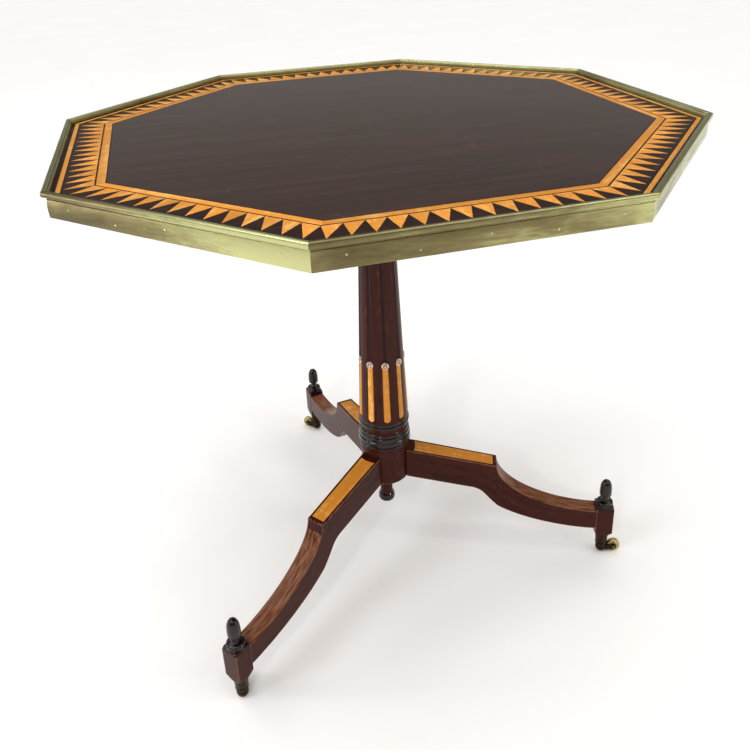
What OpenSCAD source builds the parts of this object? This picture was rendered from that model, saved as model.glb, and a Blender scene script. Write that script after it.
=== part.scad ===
// Octagonal tilt-top table: a brass-bound marquetry top on a fluted column with three
// swept legs on castors. Millimetres, +Z up, origin on the floor under the column axis.
// X and Y run square to sides of the octagon; the top hinges about X at the front of its block.

/* [Table top] */
// Height from the floor to the crest of the brass bead
table_h = 735; // [715:1:760]
// Width of the top across opposite sides
top_flats = 804; // [740:2:900]
// Thickness of the core board
board_t = 22.5; // [18:0.5:28]
// Thickness of the veneers laid on the board
veneer_t = 1; // [0.6:0.1:2]

/* [Marquetry, widths from the outside in] */
// Dark border inside the bead
border_w = 4.5; // [2:0.5:10]
// Satinwood stringing
stringing_w = 5; // [2:0.5:10]
// Dark line between the stringing and the points of the teeth
tip_line_w = 2.5; // [1:0.5:6]
// Length of the sawtooth triangles
tooth_l = 31.5; // [15:0.5:50]
// Light teeth along each side
teeth_per_side = 14; // [6:1:24]
// Dark line under the teeth
base_line_w = 2; // [1:0.5:5]
// Plain satinwood band
satin_w = 9.5; // [4:0.5:20]
// Dark line round the field
field_line_w = 1.5; // [1:0.5:4]
// Dark wood left between neighbouring light teeth
tooth_gap = 0.3; // [0.2:0.1:1]

/* [Brass edge] */
// Diameter of the raised bead
bead_d = 8; // [6:0.5:12]
// Height of the bead's crest above the veneers
bead_rise = 7; // [4:0.5:8]
// How far the bead stands out past the band
bead_overhang = 5; // [3:0.5:6]
// Height of the cove between the bead and the band
cove_h = 2; // [1:0.5:4]
// Thickness of the flat band
band_t = 1.6; // [1:0.1:3]
// How far the band swells at its middle
band_swell = 0.8; // [0.2:0.1:1.5]
// Seam between two mitred lengths
mitre_seam = 0.16; // [0.1:0.02:0.4]
// Brass pins along each side
pins_per_side = 5; // [3:1:9]
// Diameter of a pin
pin_d = 2.2; // [1.5:0.1:4]

/* [Block, hinge and bearers] */
// Side of the square block on the column
block_w = 150; // [130:2:190]
// Thickness of the block
block_t = 30; // [26:1:36]
// Gap between the block and the underside of the top
block_gap = 0.4; // [0.3:0.1:1]
// Gap between the block and each bearer
bearer_gap = 0.5; // [0.3:0.1:1]
// Width of a bearer
bearer_w = 32; // [26:1:40]
// Depth of a bearer
bearer_h = 28; // [27:1:38]
// Length of a bearer
bearer_l = 560; // [420:10:620]
// Diameter of the pivots
pivot_d = 14; // [10:0.5:16]
// Depth of a pivot in the block
pivot_seat = 18; // [12:1:26]
// Radial play of the pivots in the bearers
pivot_play = 0.05; // [0.02:0.01:0.1]

/* [Catch] */
// Diameter of the bolt
bolt_d = 8; // [6:0.5:10]
// Length of the bolt
bolt_l = 67; // [60:1:80]
// Height of the bolt's axis below the board
bolt_drop = 10.5; // [9:0.5:14]
// Gap from the block to the nose of the drawn bolt
bolt_clear = 3; // [2.5:0.5:5]
// Travel of the bolt
bolt_travel = 11; // [8:1:12]
// Radial play of the bolt in its guides
bolt_play = 0.05; // [0.02:0.01:0.1]

/* [Column] */
// Diameter of the shaft at its foot
shaft_d = 76; // [70:1:84]
// Diameter of the shaft at its neck
neck_d = 47; // [42:1:54]
// Height of the capital between the shaft and the block
capital_h = 23; // [22:0.5:30]
// Number of flutes
flutes = 9; // [6:1:9]
// Turn of the flutes about the column
flute_turn = 23.5; // [0:0.5:40]
// Width of a flute at the foot of the shaft
flute_w = 12.6; // [9:0.1:14]
// Depth of a flute
flute_depth = 3.2; // [2:0.1:4]
// Height of the plain foot under the flutes
flute_start = 1; // [1:0.5:12]
// Length of the satinwood bars in the flutes
bar_l = 97; // [60:1:140]
// How far the bars and roundels swell out of the shaft
bar_rise = 1; // [0.6:0.1:2.5]
// Diameter of the roundels over the bars
roundel_d = 11.2; // [9:0.1:13]
// Diameter of the tenons at both ends of the shaft
tenon_d = 38; // [34:1:40]
// Radial play of glued and seated joints
seat_play = 0.05; // [0.02:0.01:0.15]

/* [Drum and mouldings] */
// Diameter of the drum that the legs join
drum_d = 75; // [72:1:84]
// How far the drum reaches below the legs
drum_lip = 1.8; // [1:0.2:5]
// Height of the drum
drum_h = 69; // [64:1:76]
// Length of the tongues that hold the legs in the drum
tongue_l = 11.5; // [8:0.5:12]
// Height of the ringed collar over the drum
collar_h = 25; // [22.5:0.5:34]
// How far the collar's lowest ring stands out past the drum
collar_proud = 3.5; // [2.5:0.5:8]
// Height of the plain hollow between the collar and the beads
hollow_h = 10; // [8:0.5:16]
// Height of the two beads under the shaft
torus_h = 10; // [9.5:0.5:14]
// How far the lower bead stands out past the foot of the shaft
torus_proud = 1.8; // [0.5:0.1:5]
// Diameter of the ball of the pendant finial
ball_d = 26.5; // [24:0.5:32]
// Length of the pendant finial below the drum
pendant_l = 57; // [46:1:80]

/* [Legs] */
// Turn of the back leg about the column
leg_turn = 98.5; // [90:0.5:105]
// Distance of the knee from the column axis
knee_r = 178; // [165:1:190]
// Height of the knee
knee_z = 174.5; // [168:0.5:182]
// Slope of the straight part of a leg
leg_slope = 10.2; // [6:0.2:12]
// Depth of a leg at the column
leg_depth = 50; // [44:1:54]
// Distance of the lower knee from the column axis
under_knee_r = 152; // [140:1:160]
// Width of a leg at the drum
leg_root_w = 32; // [28:1:34]
// Width of a leg at the knee
leg_knee_w = 28.5; // [25:0.5:30]
// Width of a leg at the toe
leg_toe_w = 26; // [20:0.5:26.5]
// Depth of a leg at the toe
toe_depth = 34.5; // [30:0.5:37]
// Margin of dark wood round the inlay
inlay_margin = 3.6; // [2:0.2:6]
// Thickness of the inlay
inlay_t = 1.2; // [0.8:0.1:2]

/* [Feet and castors] */
// Distance of a foot from the column axis
foot_r = 352; // [335:1:362]
// Side of the square foot block
foot_w = 27; // [26:0.5:30]
// Height of the foot block
foot_h = 54; // [48:1:58]
// Height of the underside of the foot block
foot_z = 40; // [37:0.5:43]
// Diameter of the acorn
acorn_d = 19; // [15:0.5:22]
// Diameter of a castor wheel
wheel_d = 22; // [20:0.5:23]
// Width of a castor wheel
wheel_w = 9; // [7:0.5:10]
// Diameter of the castor's horn at the swivel
horn_d = 17; // [15:0.5:20]
// Diameter of the axle
axle_d = 4; // [3:0.2:5]
// Diameter of the swivel pin
swivel_d = 6; // [5:0.2:7]
// Radial play of the axle and the swivel pin
castor_play = 0.05; // [0.02:0.01:0.1]
// Gap between faces that turn past each other
castor_gap = 0.4; // [0.3:0.05:0.6]

/* [Hidden] */
$fn = 48;
eps = 0.01;
far = 2000;
sides = 8;
half_side = 180 / sides;

// heights in the top
z_veneer = table_h - bead_rise - veneer_t;
z_under = z_veneer - board_t;
z_bead = table_h - bead_d / 2;
z_band = table_h - bead_d - cove_h;
band_h = z_band - z_under;

// distances of the top's lines from the column axis, measured square to a side
bead_a = (top_flats - bead_d) / 2;
band_a = top_flats / 2 - bead_overhang;
neck_inset = 0.5;
neck_in = bead_a - bead_d / 2 - neck_inset;
neck_out = band_a - neck_inset;
board_a = band_a - band_t;
border_a = neck_in - border_w;
stringing_a = border_a - stringing_w;
tooth_out = stringing_a - tip_line_w;
tooth_in = tooth_out - tooth_l;
satin_out = tooth_in - base_line_w;
satin_in = satin_out - satin_w;
field_a = satin_in - field_line_w;

// block, hinge and catch
z_block = z_under - block_gap;
z_block_low = z_block - block_t;
hinge_r = block_t / 2;
hinge_y = hinge_r - block_w / 2;
hinge_z = z_block - hinge_r;
bearer_x = block_w / 2 + bearer_gap + bearer_w / 2;
bolt_z = z_under - bolt_drop;
bolt_y = block_w / 2 + bolt_clear;
bolt_hole_play = 0.6;
bolt_hole_r = bolt_d / 2 + bolt_hole_play;
strike_t = 2;
strike_w = 30;
strike_h = 18;
catch_t = 2;
catch_w = 42;
catch_l = 62;
catch_clear = 5;
catch_y = block_w / 2 + catch_clear;
guide_w = 18;
guide_l = 8;
guide_inset = 4;
guide_under = 2.5;
guide_y = [catch_y + guide_inset, catch_y + catch_l - guide_inset - guide_l];
plate_screw_inset = [6, 8];
knob_r = 6;
knob_neck_r = 2.5;
knob_neck_l = 9;
screw_r = 2;
screw_head_r = 4;
screw_head_h = 1.6;
screw_bite = 12;

// column
drum_r = drum_d / 2;
root_z = knee_z + (knee_r - drum_r) * tan(leg_slope);
drum_z = root_z - leg_depth - drum_lip;
collar_z = drum_z + drum_h;
hollow_z = collar_z + collar_h;
torus_z = hollow_z + hollow_h;
shaft_z = torus_z + torus_h;
shaft_top = z_block_low - capital_h;
shaft_l = shaft_top - shaft_z;
taper = atan((shaft_d - neck_d) / 2 / shaft_l);
tenon_r = tenon_d / 2;
flute_r = (pow(flute_w / 2, 2) + pow(flute_depth, 2)) / (2 * flute_depth);
neck_ratio = 0.66;
bar_z = shaft_z + flute_start;
roundel_z = bar_z + bar_l + roundel_d / 2;
tenon_l = 26;
tenon_low = collar_z - tenon_l;
ball_z = drum_z - pendant_l;
finial_pin_r = 6;
finial_pin_l = 20;
pin_hole_spare = 2;
finial_neck_r = 10.5;
ball_low_r = 9;
ball_top_r = 11;
ball_turn = acos((finial_neck_r - ball_d / 2 + ball_top_r) / ball_top_r);
stem_z = ball_z + ball_low_r + ball_top_r * sin(ball_turn);

// legs
LEGS = [leg_turn + 120, leg_turn + 240, leg_turn];
CASTOR_TURNS = [-128, 6, 36];
toe_r = foot_r - foot_w / 2;
block_over = 3;
slab_h = 3;
foot_top = foot_z + foot_h;
toe_z = foot_top - block_over;
steps = 14;
tongue_in = drum_r - tongue_l;
tongue_w = [16, 12];
tongue_drop = 6;
tongue_top = root_z - tongue_drop;
tongue_rise = 1;
inlay_ends = [11, 6];
inlay_from = drum_r + inlay_ends[0];
brace_t = 2.4;
brace_w = 12;
brace_l = 46;
brace_hub_r = 30;
brace_bend = drum_r + drum_lip / tan(leg_slope);
brace_screw_inset = 10;
inlay_to = knee_r - inlay_ends[1];

// castors
wheel_r = wheel_d / 2;
cup_z = 15;
cup_seat = 4.5;
cup_r = [8.6, 11.4];
stub_r = 8;
swivel_l = 10;
swivel_hole_l = 11;
horn_r = horn_d / 2;
horn_z = 12;
horn_low = 3;
trail = wheel_r + horn_r + castor_gap;
cheek_t = 2.2;

// ---- helpers ----

function r_shaft(z) = shaft_d / 2 - (z - shaft_z) * tan(taper);
function arc(c, r, a, b, n = 10) =
    [for (i = [0:n]) c + r * [cos(a + (b - a) * i / n), sin(a + (b - a) * i / n)]];

module octagon(a) {
    rotate(half_side)
        circle(r = a / cos(half_side), $fn = sides);
}

// flat octagonal frame between two lines
module octagon_ring(outer, inner) {
    translate([0, 0, z_veneer])
        linear_extrude(veneer_t)
            difference() {
                octagon(outer);
                octagon(inner);
            }
}

// eight mitred lengths of one section, drawn as [distance from the axis, height]
module mitred_lengths() {
    for (k = [0:sides - 1])
        rotate([0, 0, k * 360 / sides])
            intersection() {
                rotate([90, 0, 0])
                    linear_extrude(top_flats, center = true)
                        children();
                translate([mitre_seam / 2 / sin(half_side), 0, 0])
                    linear_extrude(table_h + 1)
                        polygon([
                            [0, 0],
                            [top_flats, -top_flats * tan(half_side)],
                            [top_flats, top_flats * tan(half_side)]
                        ]);
            }
}

module teeth_2d() {
    pitch = 2 * tooth_in * tan(half_side) / teeth_per_side;
    spread = 2 * tooth_out * tan(half_side) / teeth_per_side;
    for (k = [0:sides - 1], i = [0:teeth_per_side - 1]) {
        from_middle = i - (teeth_per_side - 1) / 2;
        rotate(k * 360 / sides)
            polygon([
                [tooth_in, from_middle * pitch - pitch / 2 + tooth_gap / 2],
                [tooth_out - tooth_gap, from_middle * spread],
                [tooth_in, from_middle * pitch + pitch / 2 - tooth_gap / 2]
            ]);
    }
}

// places a child on leg i, with +X running out along the leg
module on_leg(i) {
    rotate([0, 0, LEGS[i]])
        children();
}

// places a child on the castor of leg i, with +X from the swivel to the wheel
module on_castor(i) {
    on_leg(i)
        translate([foot_r, 0, 0])
            rotate([0, 0, CASTOR_TURNS[i]])
                children();
}

module side_view() {
    rotate([90, 0, 0])
        linear_extrude(leg_root_w + 2, center = true)
            children();
}

// ---- top ----

module top_board() {
    color("sienna")
        translate([0, 0, z_under])
            union() {
                linear_extrude(band_h)
                    octagon(board_a);
                linear_extrude(board_t)
                    octagon(neck_in);
            }
}

module field_veneer() {
    color([0.16, 0.1, 0.09])
        translate([0, 0, z_veneer])
            linear_extrude(veneer_t)
                octagon(field_a);
}

module satin_band() {
    color([0.91, 0.64, 0.3])
        octagon_ring(satin_out, satin_in);
}

module sawtooth_light() {
    color([0.91, 0.64, 0.3])
        translate([0, 0, z_veneer])
            linear_extrude(veneer_t)
                teeth_2d();
}

module sawtooth_dark() {
    color([0.18, 0.12, 0.11])
        translate([0, 0, z_veneer])
            linear_extrude(veneer_t)
                difference() {
                    octagon(tooth_out);
                    octagon(tooth_in);
                    teeth_2d();
                }
}

module outer_stringing() {
    color([0.91, 0.64, 0.3])
        octagon_ring(border_a, stringing_a);
}

module dark_lines() {
    color([0.12, 0.08, 0.07]) {
        octagon_ring(neck_in, border_a);
        octagon_ring(stringing_a, tooth_out);
        octagon_ring(tooth_in, satin_out);
        octagon_ring(satin_in, field_a);
    }
}

module rim_moulding() {
    color([0.75, 0.7, 0.42])
        mitred_lengths() {
            union() {
                translate([bead_a, z_bead])
                    circle(d = bead_d);
                translate([neck_in, z_band])
                    square([neck_out - neck_in, z_bead - z_band]);
            }
        }
}

// a swelling strip: its face bows out as a shallow arc
module edge_band() {
    bow_r = (pow(band_h / 2, 2) + pow(band_swell, 2)) / (2 * band_swell);
    bow_a = asin(band_h / 2 / bow_r);
    color([0.71, 0.66, 0.38])
        mitred_lengths()
            polygon(concat(
                [[board_a, z_under]],
                arc([band_a + band_swell - bow_r, z_under + band_h / 2], bow_r, -bow_a, bow_a, 8),
                [[board_a, z_band]]
            ));
}

module band_pins() {
    pin_bite = 6;
    pin_zigzag = 3;
    pin_proud = 0.25;
    head = band_t + band_swell + pin_proud;
    spacing = top_flats * tan(half_side) / pins_per_side;
    color([0.6, 0.54, 0.3])
        for (k = [0:sides - 1], i = [0:pins_per_side - 1])
            rotate([0, 0, k * 360 / sides])
                translate([
                    board_a - pin_bite,
                    (i - (pins_per_side - 1) / 2) * spacing,
                    z_under + band_h / 2 + (i % 2 == 0 ? pin_zigzag : -pin_zigzag)
                ])
                    rotate([0, 90, 0])
                        cylinder(d = pin_d, h = pin_bite + head, $fn = 16);
}

module bearer(side) {
    color("saddlebrown")
        translate([side * bearer_x, 0, 0])
            difference() {
                rotate([90, 0, 90])
                    linear_extrude(bearer_w, center = true)
                        polygon([
                            [-bearer_l / 2, z_under],
                            [-bearer_l / 2, z_under - bearer_h / 3],
                            [-bearer_l / 2 + bearer_h, z_under - bearer_h],
                            [bearer_l / 2 - bearer_h, z_under - bearer_h],
                            [bearer_l / 2, z_under - bearer_h / 3],
                            [bearer_l / 2, z_under]
                        ]);
                translate([0, hinge_y, hinge_z])
                    rotate([0, 90, 0])
                        cylinder(r = pivot_d / 2 + pivot_play, h = bearer_w + 2, center = true);
            }
}

// a round-headed screw driven upwards, with its head under z = 0
module screw_up(bite) {
    union() {
        cylinder(r = screw_r, h = bite, $fn = 24);
        translate([0, 0, -screw_head_h])
            cylinder(r1 = screw_head_r - 1, r2 = screw_head_r, h = screw_head_h, $fn = 24);
    }
}

module bearer_screws() {
    end_share = 0.38;
    color("silver")
        for (side = [-1, 1], y = [-end_share, 0, end_share])
            translate([side * bearer_x, y * bearer_l, z_under - bearer_h])
                screw_up(bearer_h + screw_bite);
}

// ---- catch ----

module catch_plate() {
    color([0.78, 0.66, 0.36])
        translate([-catch_w / 2, catch_y, z_under - catch_t])
            cube([catch_w, catch_l, catch_t]);
}

module catch_guides() {
    drop = bolt_drop + bolt_d / 2 + guide_under;
    color([0.75, 0.62, 0.33])
        for (y = guide_y)
            difference() {
                translate([-guide_w / 2, y, z_under - drop])
                    cube([guide_w, guide_l, drop - catch_t]);
                translate([0, y - 1, bolt_z])
                    rotate([-90, 0, 0])
                        cylinder(r = bolt_d / 2 + bolt_play, h = guide_l + 2);
            }
}

module catch_screws() {
    color([0.7, 0.6, 0.34])
        for (x = [-1, 1], y = [plate_screw_inset[1], catch_l - plate_screw_inset[1]])
            translate([x * (catch_w / 2 - plate_screw_inset[0]), catch_y + y, z_under - catch_t])
                screw_up(catch_t + screw_bite);
}

module catch_bolt() {
    nose = 1;
    color([0.8, 0.7, 0.4])
        translate([0, bolt_y, bolt_z])
            rotate([-90, 0, 0])
                union() {
                    translate([0, 0, nose])
                        cylinder(d = bolt_d, h = bolt_l - nose);
                    cylinder(d1 = bolt_d - 2 * nose, d2 = bolt_d, h = nose);
                }
}

module bolt_knob() {
    color([0.8, 0.7, 0.4])
        translate([0, (guide_y[0] + guide_l + guide_y[1] + bolt_travel) / 2, bolt_z])
            union() {
                translate([0, 0, -bolt_d / 2 - knob_neck_l])
                    cylinder(r = knob_neck_r, h = knob_neck_l + bolt_d / 4);
                translate([0, 0, -bolt_d / 2 - knob_neck_l - knob_r / 2])
                    sphere(r = knob_r);
            }
}

// ---- block and hinge ----

// the top front edge is rounded about the hinge; the front face below it stops the top at 90 degrees
module column_block() {
    color("saddlebrown")
        difference() {
            union() {
                translate([-block_w / 2, hinge_y, z_block_low])
                    cube([block_w, block_w - hinge_r, block_t]);
                translate([-block_w / 2, hinge_y - hinge_r, z_block_low])
                    cube([block_w, hinge_r + 1, hinge_r]);
                translate([-block_w / 2, hinge_y, hinge_z])
                    rotate([0, 90, 0])
                        cylinder(r = hinge_r, h = block_w);
            }
            translate([0, 0, z_block_low - 1])
                cylinder(r = tenon_r + seat_play, h = block_t + 2);
            for (side = [0, 1])
                mirror([side, 0, 0])
                    translate([block_w / 2 - pivot_seat, hinge_y, hinge_z])
                        rotate([0, 90, 0])
                            cylinder(r = pivot_d / 2 + eps, h = pivot_seat + 1);
            translate([-strike_w / 2, block_w / 2 - strike_t, bolt_z - strike_h / 2])
                cube([strike_w, strike_t + 1, strike_h]);
            translate([0, block_w / 2 + 1, bolt_z])
                rotate([90, 0, 0])
                    cylinder(r = bolt_hole_r, h = bolt_travel + 2 * bolt_clear);
        }
}

module pivot(side) {
    color([0.72, 0.6, 0.35])
        mirror([side > 0 ? 0 : 1, 0, 0])
            translate([block_w / 2 - pivot_seat, hinge_y, hinge_z])
                rotate([0, 90, 0])
                    cylinder(d = pivot_d, h = pivot_seat + bearer_gap + bearer_w);
}

module strike_plate() {
    color([0.78, 0.66, 0.36])
        difference() {
            translate([-strike_w / 2, block_w / 2 - strike_t, bolt_z - strike_h / 2])
                cube([strike_w, strike_t, strike_h]);
            translate([0, block_w / 2 + 1, bolt_z])
                rotate([90, 0, 0])
                    cylinder(r = bolt_hole_r, h = strike_t + 2);
        }
}

// ---- column ----

// a tapering rod with a round foot that follows flute k; rise moves its axis out of the shaft
module flute_rod(k, rise, r, from_z, rod_l) {
    rotate([0, 0, flute_turn + k * 360 / flutes])
        translate([r_shaft(from_z) + rise, 0, from_z])
            rotate([0, -taper, 0]) {
                translate([0, 0, r])
                    cylinder(r1 = r, r2 = r * neck_ratio, h = rod_l - r);
                translate([0, 0, r])
                    sphere(r = r);
            }
}

module flute_cutter(k, play = 0) {
    flute_rod(k, flute_r - flute_depth, flute_r - play, bar_z, shaft_l - flute_start + flute_r);
}

module roundel_seat(k, r, depth, rise) {
    rotate([0, 0, flute_turn + k * 360 / flutes])
        translate([r_shaft(roundel_z), 0, roundel_z])
            rotate([0, 90 - taper, 0])
                translate([0, 0, -depth])
                    cylinder(r = r, h = depth + rise);
}

module column_shaft() {
    color([0.3, 0.12, 0.09])
        difference() {
            union() {
                translate([0, 0, tenon_low])
                    cylinder(r = tenon_r, h = shaft_z - tenon_low + eps);
                translate([0, 0, shaft_z])
                    cylinder(d1 = shaft_d, d2 = neck_d, h = shaft_l, $fn = 96);
                translate([0, 0, shaft_top - eps])
                    cylinder(r = tenon_r, h = z_block - 1 - shaft_top);
            }
            for (k = [0:flutes - 1]) {
                flute_cutter(k);
                roundel_seat(k, roundel_d / 2 + seat_play, flute_depth, far);
            }
        }
}

module column_capital() {
    low_r = neck_d / 2;
    bead_r = 3.5;
    fillet_h = 1;
    flare_r = 14;
    flare_out = 15;
    flare_z = shaft_top + 2 * bead_r + fillet_h + neck_inset;
    color([0.12, 0.09, 0.09])
        rotate_extrude($fn = 64)
            polygon(concat(
                [[tenon_r + seat_play, shaft_top]],
                arc([low_r, shaft_top + bead_r], bead_r, -90, 90, 8),
                [[low_r - neck_inset, shaft_top + 2 * bead_r + fillet_h]],
                arc([low_r + flare_out, flare_z], flare_r, 180, 90, 8),
                [[low_r + flare_out, z_block_low], [tenon_r + seat_play, z_block_low]]
            ));
}

module flute_bars() {
    color([0.89, 0.6, 0.26])
        for (k = [0:flutes - 1])
            difference() {
                intersection() {
                    flute_cutter(k, seat_play);
                    flute_rod(k, bar_rise - flute_r, flute_r, bar_z, bar_l + roundel_d);
                    cylinder(r = far, h = roundel_z);
                }
                roundel_seat(k, roundel_d / 2 + seat_play, roundel_d, far);
            }
}

// a turned button: ring, groove and centre, set into the shaft over each bar
module bar_roundels() {
    r = roundel_d / 2;
    edge_z = bar_rise - 0.7;
    ring_z = bar_rise - 0.5;
    groove_z = bar_rise - 1.3;
    lift = 0.3;
    color([0.85, 0.78, 0.74])
        for (k = [0:flutes - 1])
            rotate([0, 0, flute_turn + k * 360 / flutes])
                translate([r_shaft(roundel_z), 0, roundel_z])
                    rotate([0, 90 - taper, 0])
                        rotate_extrude($fn = 32)
                            polygon([
                                [0, seat_play - flute_depth], [r, seat_play - flute_depth],
                                [r, edge_z], [0.85 * r, bar_rise], [0.7 * r, ring_z],
                                [0.64 * r, groove_z], [0.46 * r, groove_z],
                                [0.3 * r, bar_rise], [0, bar_rise + lift]
                            ]);
}

module base_torus() {
    r = shaft_d / 2 + torus_proud;
    low_bead_r = 2.5;
    low_bead_z = torus_z + 2.7;
    top_bead_r = 1.9;
    top_bead_z = torus_z + 7;
    top_bead_in = 3.1;
    lip = 0.4;
    color([0.12, 0.09, 0.09])
        rotate_extrude($fn = 96)
            polygon(concat(
                [[tenon_r + seat_play, torus_z], [shaft_d / 2 - neck_inset, torus_z]],
                arc([r - low_bead_r, low_bead_z], low_bead_r, -70, 75, 8),
                arc([r - top_bead_in, top_bead_z], top_bead_r, -60, 70, 8),
                [[shaft_d / 2, shaft_z - lip], [shaft_d / 2, shaft_z], [tenon_r + seat_play, shaft_z]]
            ));
}

module collar_hollow() {
    waist_in = 0.6;
    waist_r = shaft_d / 2 - waist_in;
    lip = 1;
    sweep_a = 35;
    sweep_r = (hollow_h / 2 - lip) / sin(sweep_a);
    lip_r = waist_r + sweep_r * (1 - cos(sweep_a));
    color([0.3, 0.12, 0.09])
        rotate_extrude($fn = 96)
            polygon(concat(
                [[tenon_r + seat_play, hollow_z], [lip_r, hollow_z]],
                arc([waist_r + sweep_r, hollow_z + hollow_h / 2], sweep_r, 180 + sweep_a, 180 - sweep_a, 8),
                [[lip_r, torus_z], [tenon_r + seat_play, torus_z]]
            ));
}

module base_collar() {
    r = drum_r + collar_proud;
    top_r = shaft_d / 2;
    foot_edge = 2.4;
    low_ring_r = 4;
    low_ring_z = collar_z + 8;
    top_ring_r = 3.6;
    top_ring_z = collar_z + 16.6;
    top_ring_in = 5;
    fillet_z = top_ring_z + low_ring_r + 0.4;
    color([0.12, 0.09, 0.09])
        rotate_extrude($fn = 96)
            polygon(concat(
                [[tenon_r + seat_play, collar_z], [r, collar_z], [r, collar_z + foot_edge],
                    [r - foot_edge / 2, collar_z + foot_edge * 4 / 3]],
                arc([r - low_ring_r, low_ring_z], low_ring_r, -60, 70, 8),
                arc([r - top_ring_in, top_ring_z], top_ring_r, -70, 70, 8),
                [[top_r, fillet_z], [top_r, hollow_z], [tenon_r + seat_play, hollow_z]]
            ));
}

// plan of a dovetail tongue; grow is the play round it
module tongue_2d(grow = 0) {
    polygon([
        [tongue_in - grow, -tongue_w[0] / 2 - grow],
        [drum_r + 1, -tongue_w[1] / 2 - grow],
        [drum_r + 1, tongue_w[1] / 2 + grow],
        [tongue_in - grow, tongue_w[0] / 2 + grow]
    ]);
}

module column_drum() {
    ledge_z = root_z + 3.5;
    ledge = 1.6;
    foot_round = 3;
    color([0.27, 0.12, 0.08])
        difference() {
            rotate_extrude($fn = 96)
                polygon(concat(
                    [[0, drum_z]],
                    arc([drum_r - foot_round, drum_z + foot_round], foot_round, -90, 0, 5),
                    [
                        [drum_r, ledge_z], [drum_r + ledge, ledge_z + ledge],
                        [drum_r + ledge, collar_z], [0, collar_z]
                    ]
                ));
            translate([0, 0, tenon_low - 1])
                cylinder(r = tenon_r + seat_play, h = drum_h);
            translate([0, 0, drum_z - 1])
                cylinder(r = finial_pin_r + seat_play, h = finial_pin_l + pin_hole_spare + 1);
            for (i = [0:2])
                on_leg(i)
                    translate([0, 0, drum_z - 1])
                        linear_extrude(tongue_top + 1 + seat_play - drum_z)
                            tongue_2d(seat_play);
        }
}

// a plain turned sleeve between the drum and the ball
module pendant_stem() {
    color([0.27, 0.12, 0.08])
        rotate_extrude($fn = 64)
            polygon([
                [finial_pin_r + seat_play, stem_z], [finial_neck_r, stem_z],
                [finial_neck_r, drum_z], [finial_pin_r + seat_play, drum_z]
            ]);
}

// a ball with a flattened foot, on a pin that runs up through its sleeve into the drum
module pendant_finial() {
    r = ball_d / 2;
    color([0.1, 0.08, 0.08])
        rotate_extrude($fn = 64)
            polygon(concat(
                [[0, ball_z]],
                arc([r - ball_low_r, ball_z + ball_low_r], ball_low_r, -90, 0, 8),
                arc([r - ball_top_r, ball_z + ball_low_r], ball_top_r, 0, ball_turn, 6),
                [[finial_pin_r, stem_z], [finial_pin_r, drum_z + finial_pin_l], [0, drum_z + finial_pin_l]]
            ));
}

// a flat iron spider under the drum, its arms bent down where they meet the legs
module leg_brace() {
    color("dimgray")
        difference() {
            translate([0, 0, drum_z - seat_play])
                union() {
                    translate([0, 0, -brace_t])
                        cylinder(r = brace_hub_r, h = brace_t);
                    for (i = [0:2])
                        on_leg(i)
                            rotate([90, 0, 0])
                                linear_extrude(brace_w, center = true)
                                    polygon([
                                        [0, -brace_t], [brace_bend, -brace_t],
                                        [brace_bend + brace_l, -brace_t - brace_l * tan(leg_slope)],
                                        [brace_bend + brace_l, -brace_l * tan(leg_slope)],
                                        [brace_bend, 0], [0, 0]
                                    ]);
                }
            translate([0, 0, drum_z - 2 * brace_t])
                cylinder(r = finial_neck_r + seat_play, h = 3 * brace_t);
        }
}

module brace_screws() {
    color("silver")
        for (i = [0:2], x = [brace_screw_inset, brace_l - brace_screw_inset])
            on_leg(i)
                translate([brace_bend, 0, drum_z - seat_play - brace_t])
                    rotate([0, leg_slope, 0])
                        translate([x, 0, 0])
                            screw_up(screw_bite + brace_t);
}

// ---- legs ----

// points of a smooth bend from a to b that leaves both ends towards c
function bend(a, c, b, n = 6) = [for (i = [0:n])
    let (t = i / n)
    (1 - t) * (1 - t) * a + 2 * t * (1 - t) * c + t * t * b];

// outline from the side: straight to the knee, then a hollow sweep down to the toe
module leg_side() {
    low_knee = [under_knee_r, root_z - leg_depth - (under_knee_r - drum_r) * tan(leg_slope)];
    fall = [toe_r - under_knee_r, toe_z - toe_depth - low_knee[1]];
    low_power = 1.75;
    top_power = 1.85;
    back = tongue_in;
    round_l = 11;
    join_u = 0.16;
    function low_at(u) = [
        low_knee[0] + fall[0] * u,
        low_knee[1] + fall[1] * pow(1 - pow(1 - u, low_power), 1 / low_power)
    ];
    turn_share = [0.87, 0.93];
    join = low_at(join_u);
    turn = [for (k = [0:1]) low_knee[k] + turn_share[k] * (join[k] - low_knee[k])];
    down = low_knee + round_l * (turn - low_knee) / norm(turn - low_knee);
    up = low_knee + round_l * [-cos(leg_slope), sin(leg_slope)];
    polygon(concat(
        [[back, root_z + (drum_r - back) * tan(leg_slope)]],
        [for (i = [0:steps])
            let (a = 90 * i / steps)
            [
                toe_r - (toe_r - knee_r) * pow(cos(a), 2 / top_power),
                knee_z - (knee_z - toe_z) * pow(sin(a), 2 / top_power)
            ]],
        [for (i = [steps:-1:1]) low_at(join_u + (1 - join_u) * i / steps)],
        bend(join, turn, down),
        bend(down, low_knee, up),
        [[back, root_z - leg_depth + (drum_r - back) * tan(leg_slope)]]
    ));
}

// plan of a leg, narrowed by a margin on each side
module leg_plan(margin, from_r, to_r) {
    function half(r) = (r < knee_r
        ? leg_root_w + (leg_knee_w - leg_root_w) * (r - drum_r) / (knee_r - drum_r)
        : leg_knee_w + (leg_toe_w - leg_knee_w) * (r - knee_r) / (toe_r - knee_r)) / 2 - margin;
    stations = to_r > knee_r ? [from_r, knee_r, to_r] : [from_r, to_r];
    n = len(stations);
    polygon(concat(
        [for (i = [0:n - 1]) [stations[i], -half(stations[i])]],
        [for (i = [n - 1:-1:0]) [stations[i], half(stations[i])]]
    ));
}

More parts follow.
